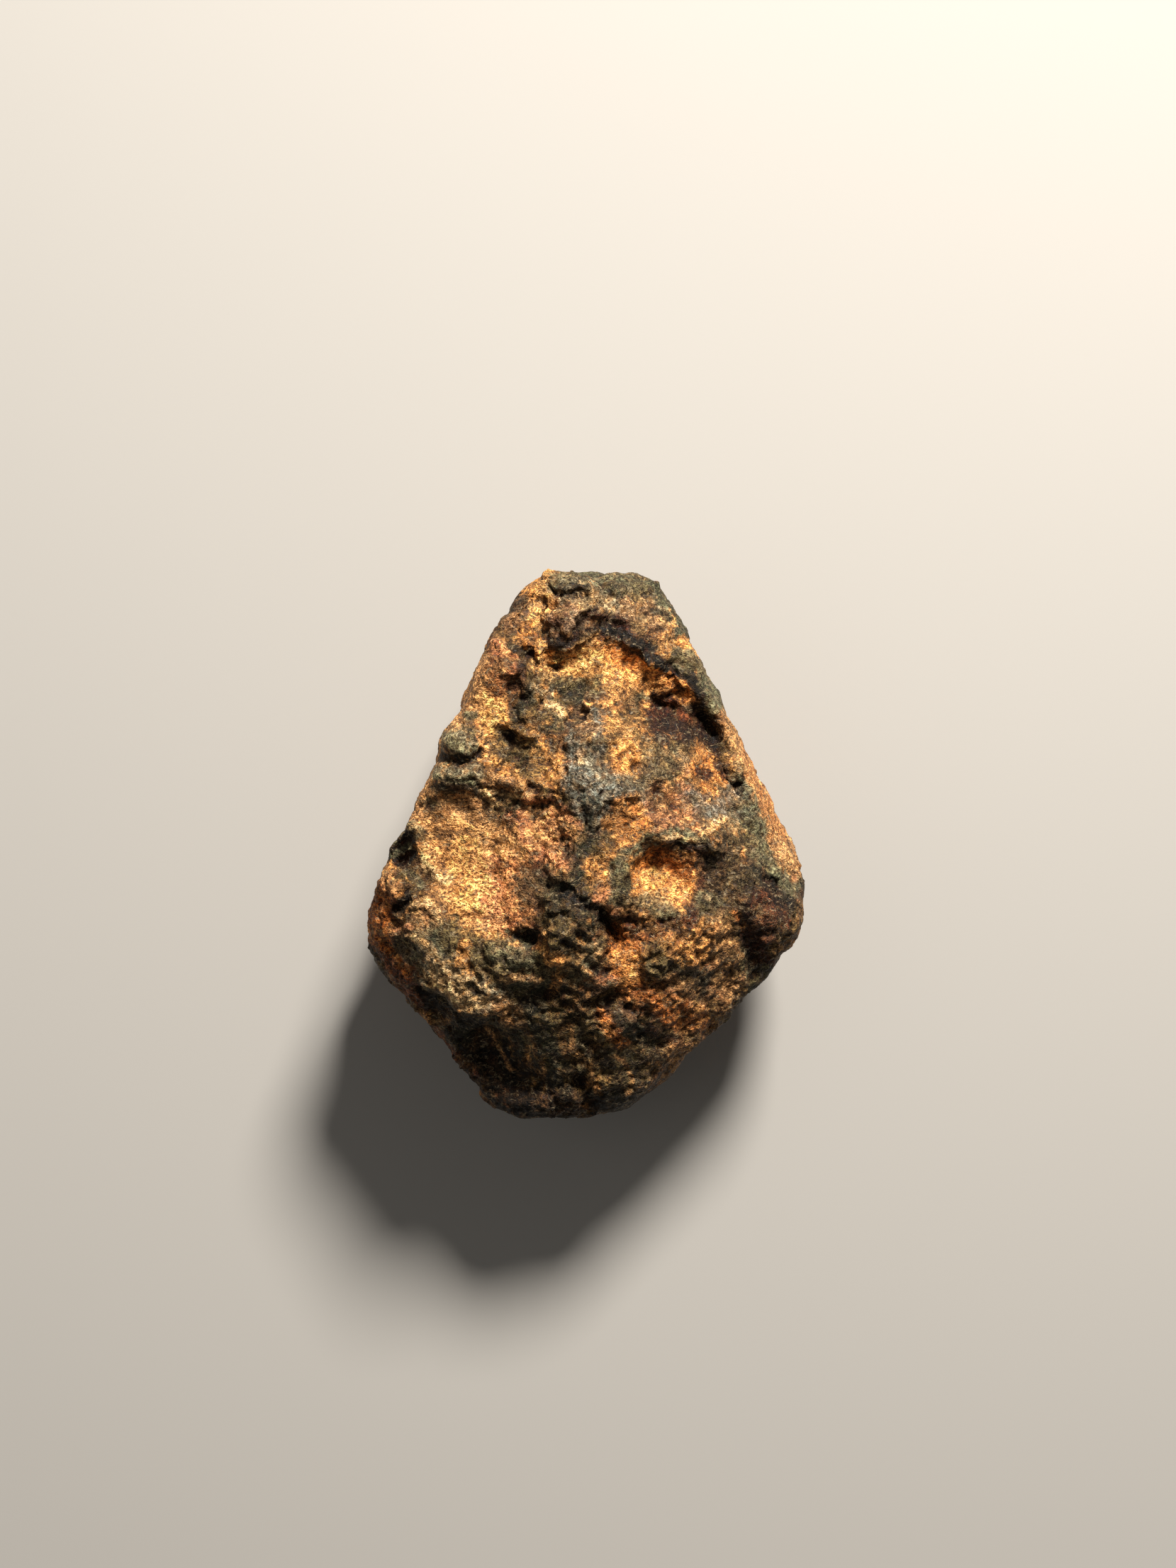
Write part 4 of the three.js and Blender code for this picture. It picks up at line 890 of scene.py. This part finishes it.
def fibrous_rust():
    """Matte rust in short curled fibres over dark metal, in the colours painted on the crust."""
    material = bpy.data.materials.new("fibrous_rust")
    material.use_nodes = True
    nodes, links = material.node_tree.nodes, material.node_tree.links
    shader = nodes["Principled BSDF"]
    painted = nodes.new("ShaderNodeAttribute")
    painted.attribute_name = CRUST_LAYER
    where = nodes.new("ShaderNodeTexCoord")

    def in_mm(turn=(0, 0, 0), squeeze=1):
        mapping = nodes.new("ShaderNodeMapping")
        mapping.inputs["Rotation"].default_value = turn
        mapping.inputs["Scale"].default_value = [share / MM for share in (1, squeeze, 1)]
        links.new(where.outputs["Object"], mapping.inputs["Vector"])
        return mapping.outputs["Vector"]

    def grain(vector, scale, detail, distortion):
        texture = nodes.new("ShaderNodeTexNoise")
        texture.inputs["Scale"].default_value = scale
        texture.inputs["Detail"].default_value = detail
        texture.inputs["Roughness"].default_value = 0.6
        texture.inputs["Distortion"].default_value = distortion
        links.new(vector, texture.inputs["Vector"])
        return texture.outputs["Fac"]

    def reckoned(kind, *values):
        node = nodes.new("ShaderNodeMath")
        node.operation = kind
        for value, socket in zip(values, node.inputs):
            if isinstance(value, float):
                socket.default_value = value
            else:
                links.new(value, socket)
        return node.outputs[0]

    def between(value, low, high):
        node = nodes.new("ShaderNodeMapRange")
        node.interpolation_type = "SMOOTHSTEP"
        node.inputs["From Min"].default_value = low
        node.inputs["From Max"].default_value = high
        links.new(value, node.inputs["Value"])
        return node.outputs["Result"]

    def fibres(turn, squeeze, scale, curl, width):
        """Curled lines where the noise crosses its middle value."""
        level = grain(in_mm(turn, squeeze), scale, 1.5, curl)
        return between(reckoned("ABSOLUTE", reckoned("SUBTRACT", level, 0.5)), width, 0.25 * width)

    def blended(kind, share, first, second):
        node = nodes.new("ShaderNodeMix")
        node.data_type = "RGBA"
        node.blend_type = kind
        for value, socket in ((share, node.inputs[0]), (first, node.inputs[6]), (second, node.inputs[7])):
            if isinstance(value, (float, tuple)):
                socket.default_value = value
            else:
                links.new(value, socket)
        return node.outputs[2]

    plain = in_mm()
    broken = between(grain(plain, 4.0, 1.5, 0.5), 0.36, 0.52)
    coarse = reckoned("MAXIMUM", fibres(*CURLS), reckoned("MULTIPLY", fibres(*THREADS), THREAD_SHARE))
    fine = reckoned("MULTIPLY", fibres(*HAIRS), HAIR_SHARE)
    strands = reckoned("MAXIMUM", reckoned("MULTIPLY", coarse, broken), fine)
    in_patches = between(grain(plain, 5.0, 1.0, 0.0), 0.46, 0.58)
    stray = reckoned("MULTIPLY", fibres(*STRAY_FIBRES), in_patches)
    pits = grain(plain, PITS_TO_A_MM, 2.0, 0.3)

    bright = blended("MULTIPLY", 1.0, painted.outputs["Color"], ON_FIBRES)
    bright = blended("MIX", DUST_SHARE, bright, DUST)
    dark = blended("MULTIPLY", 1.0, painted.outputs["Color"], BETWEEN_FIBRES)
    colour = blended("MIX", strands, dark, bright)
    colour = blended("MIX", reckoned("MULTIPLY", stray, STRAY_SHARE), colour, STRAY_COLOUR)
    # Painted shade in the fine pits
    colour = blended("MULTIPLY", between(pits, 0.53, 0.35), colour, IN_PITS)
    links.new(colour, shader.inputs["Base Color"])

    bump = nodes.new("ShaderNodeBump")
    bump.inputs["Strength"].default_value = 1.0
    bump.inputs["Distance"].default_value = FIBRE_RELIEF * MM
    links.new(reckoned("MULTIPLY_ADD", pits, 0.9, strands), bump.inputs["Height"])
    links.new(bump.outputs["Normal"], shader.inputs["Normal"])
    roughness = reckoned("MULTIPLY_ADD", strands, FIBRE_ROUGHNESS, BARE_ROUGHNESS)
    links.new(roughness, shader.inputs["Roughness"])
    shader.inputs["Specular IOR Level"].default_value = 0.3
    return material


# The stone

def sculpted_stone():
    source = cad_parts["meteorite"]
    select_only(source)
    bpy.ops.object.duplicate()
    stone = bpy.context.active_object
    stone.name = "rusty_crust"
    stone.data.name = "rusty_crust"
    scale_mesh(stone, 1 / MM)
    bpy.ops.object.mode_set(mode="EDIT")
    bpy.ops.mesh.select_all(action="SELECT")
    bpy.ops.mesh.remove_doubles(threshold=WELD)
    bpy.ops.object.mode_set(mode="OBJECT")
    finish_with(stone, "REMESH", mode="VOXEL", voxel_size=VOXEL_COARSE)
    finish_with(stone, "SMOOTH", factor=0.5, iterations=14)
    carve_large(stone)
    finish_with(stone, "REMESH", mode="VOXEL", voxel_size=VOXEL_FINE)
    finish_with(stone, "SMOOTH", factor=0.5, iterations=1)
    carve_fine(stone)
    thin_underside(stone)
    paint(stone, crust_colours(stone))
    scale_mesh(stone, MM)
    select_only(stone)
    bpy.ops.object.shade_smooth()
    stone.data.materials.clear()
    stone.data.materials.append(fibrous_rust())
    return stone


stone = sculpted_stone()
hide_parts("meteorite")
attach(stone, "root")


# Floor and light, in metres

FLOOR_COLOUR = (0.48, 0.465, 0.44)
LIT_PLACE = (0, 0, 0.004)  # the middle of the stone, which the lamps point at
AIR_COLOUR, AIR_LIGHT = (1.0, 0.96, 0.9), 0.10

# Camera, in mm: the photograph looks straight down on the broad face, from about 90 mm
LENS = 85
FILM = 36
MM_PER_PIXEL = 0.01716
PICTURE_HEIGHT = 2212  # pixels
FACE_HEIGHT = 3.2
VIEW_CENTRE = (0.04, 1.48)


def plain_finish(name, colour, roughness):
    material = bpy.data.materials.new(name)
    material.use_nodes = True
    shader = material.node_tree.nodes["Principled BSDF"]
    shader.inputs["Base Color"].default_value = (*colour, 1)
    shader.inputs["Roughness"].default_value = roughness
    return material


def pale_floor():
    bpy.ops.mesh.primitive_plane_add(size=1.2, location=(0, 0, 0))
    floor = bpy.context.active_object
    floor.name = "floor"
    floor.data.materials.append(plain_finish("pale_floor", FLOOR_COLOUR, roughness=0.8))


def softbox(name, place, size, watts, colour):
    data = bpy.data.lights.new(name, "AREA")
    data.shape = "DISK"
    data.size = size
    data.energy = watts
    data.color = colour
    lamp = bpy.data.objects.new(name, data)
    bpy.context.scene.collection.objects.link(lamp)
    lamp.location = place
    lamp.rotation_euler = (Vector(LIT_PLACE) - Vector(place)).to_track_quat("-Z", "Y").to_euler()
    lamp.visible_camera = False


def studio_light():
    softbox("key light", place=(0.026, 0.076, 0.073), size=0.028, watts=0.235, colour=(1.0, 0.94, 0.86))
    softbox("fill light", place=(-0.07, 0.0, 0.09), size=0.08, watts=0.006, colour=(1.0, 0.97, 0.93))
    world = bpy.data.worlds.new("studio")
    bpy.context.scene.world = world
    world.use_nodes = True
    background = world.node_tree.nodes["Background"]
    background.inputs["Color"].default_value = (*AIR_COLOUR, 1)
    background.inputs["Strength"].default_value = AIR_LIGHT
    bpy.context.scene.view_settings.view_transform = "Standard"


def photograph_camera():
    distance = PICTURE_HEIGHT * MM_PER_PIXEL * LENS / FILM
    data = bpy.data.cameras.new("camera")
    data.lens = LENS
    data.sensor_width = FILM
    data.clip_start = 0.001
    camera = bpy.data.objects.new("camera", data)
    bpy.context.scene.collection.objects.link(camera)
    camera.location = (VIEW_CENTRE[0] * MM, VIEW_CENTRE[1] * MM, (FACE_HEIGHT + distance) * MM)
    bpy.context.scene.camera = camera


pale_floor()
studio_light()
photograph_camera()
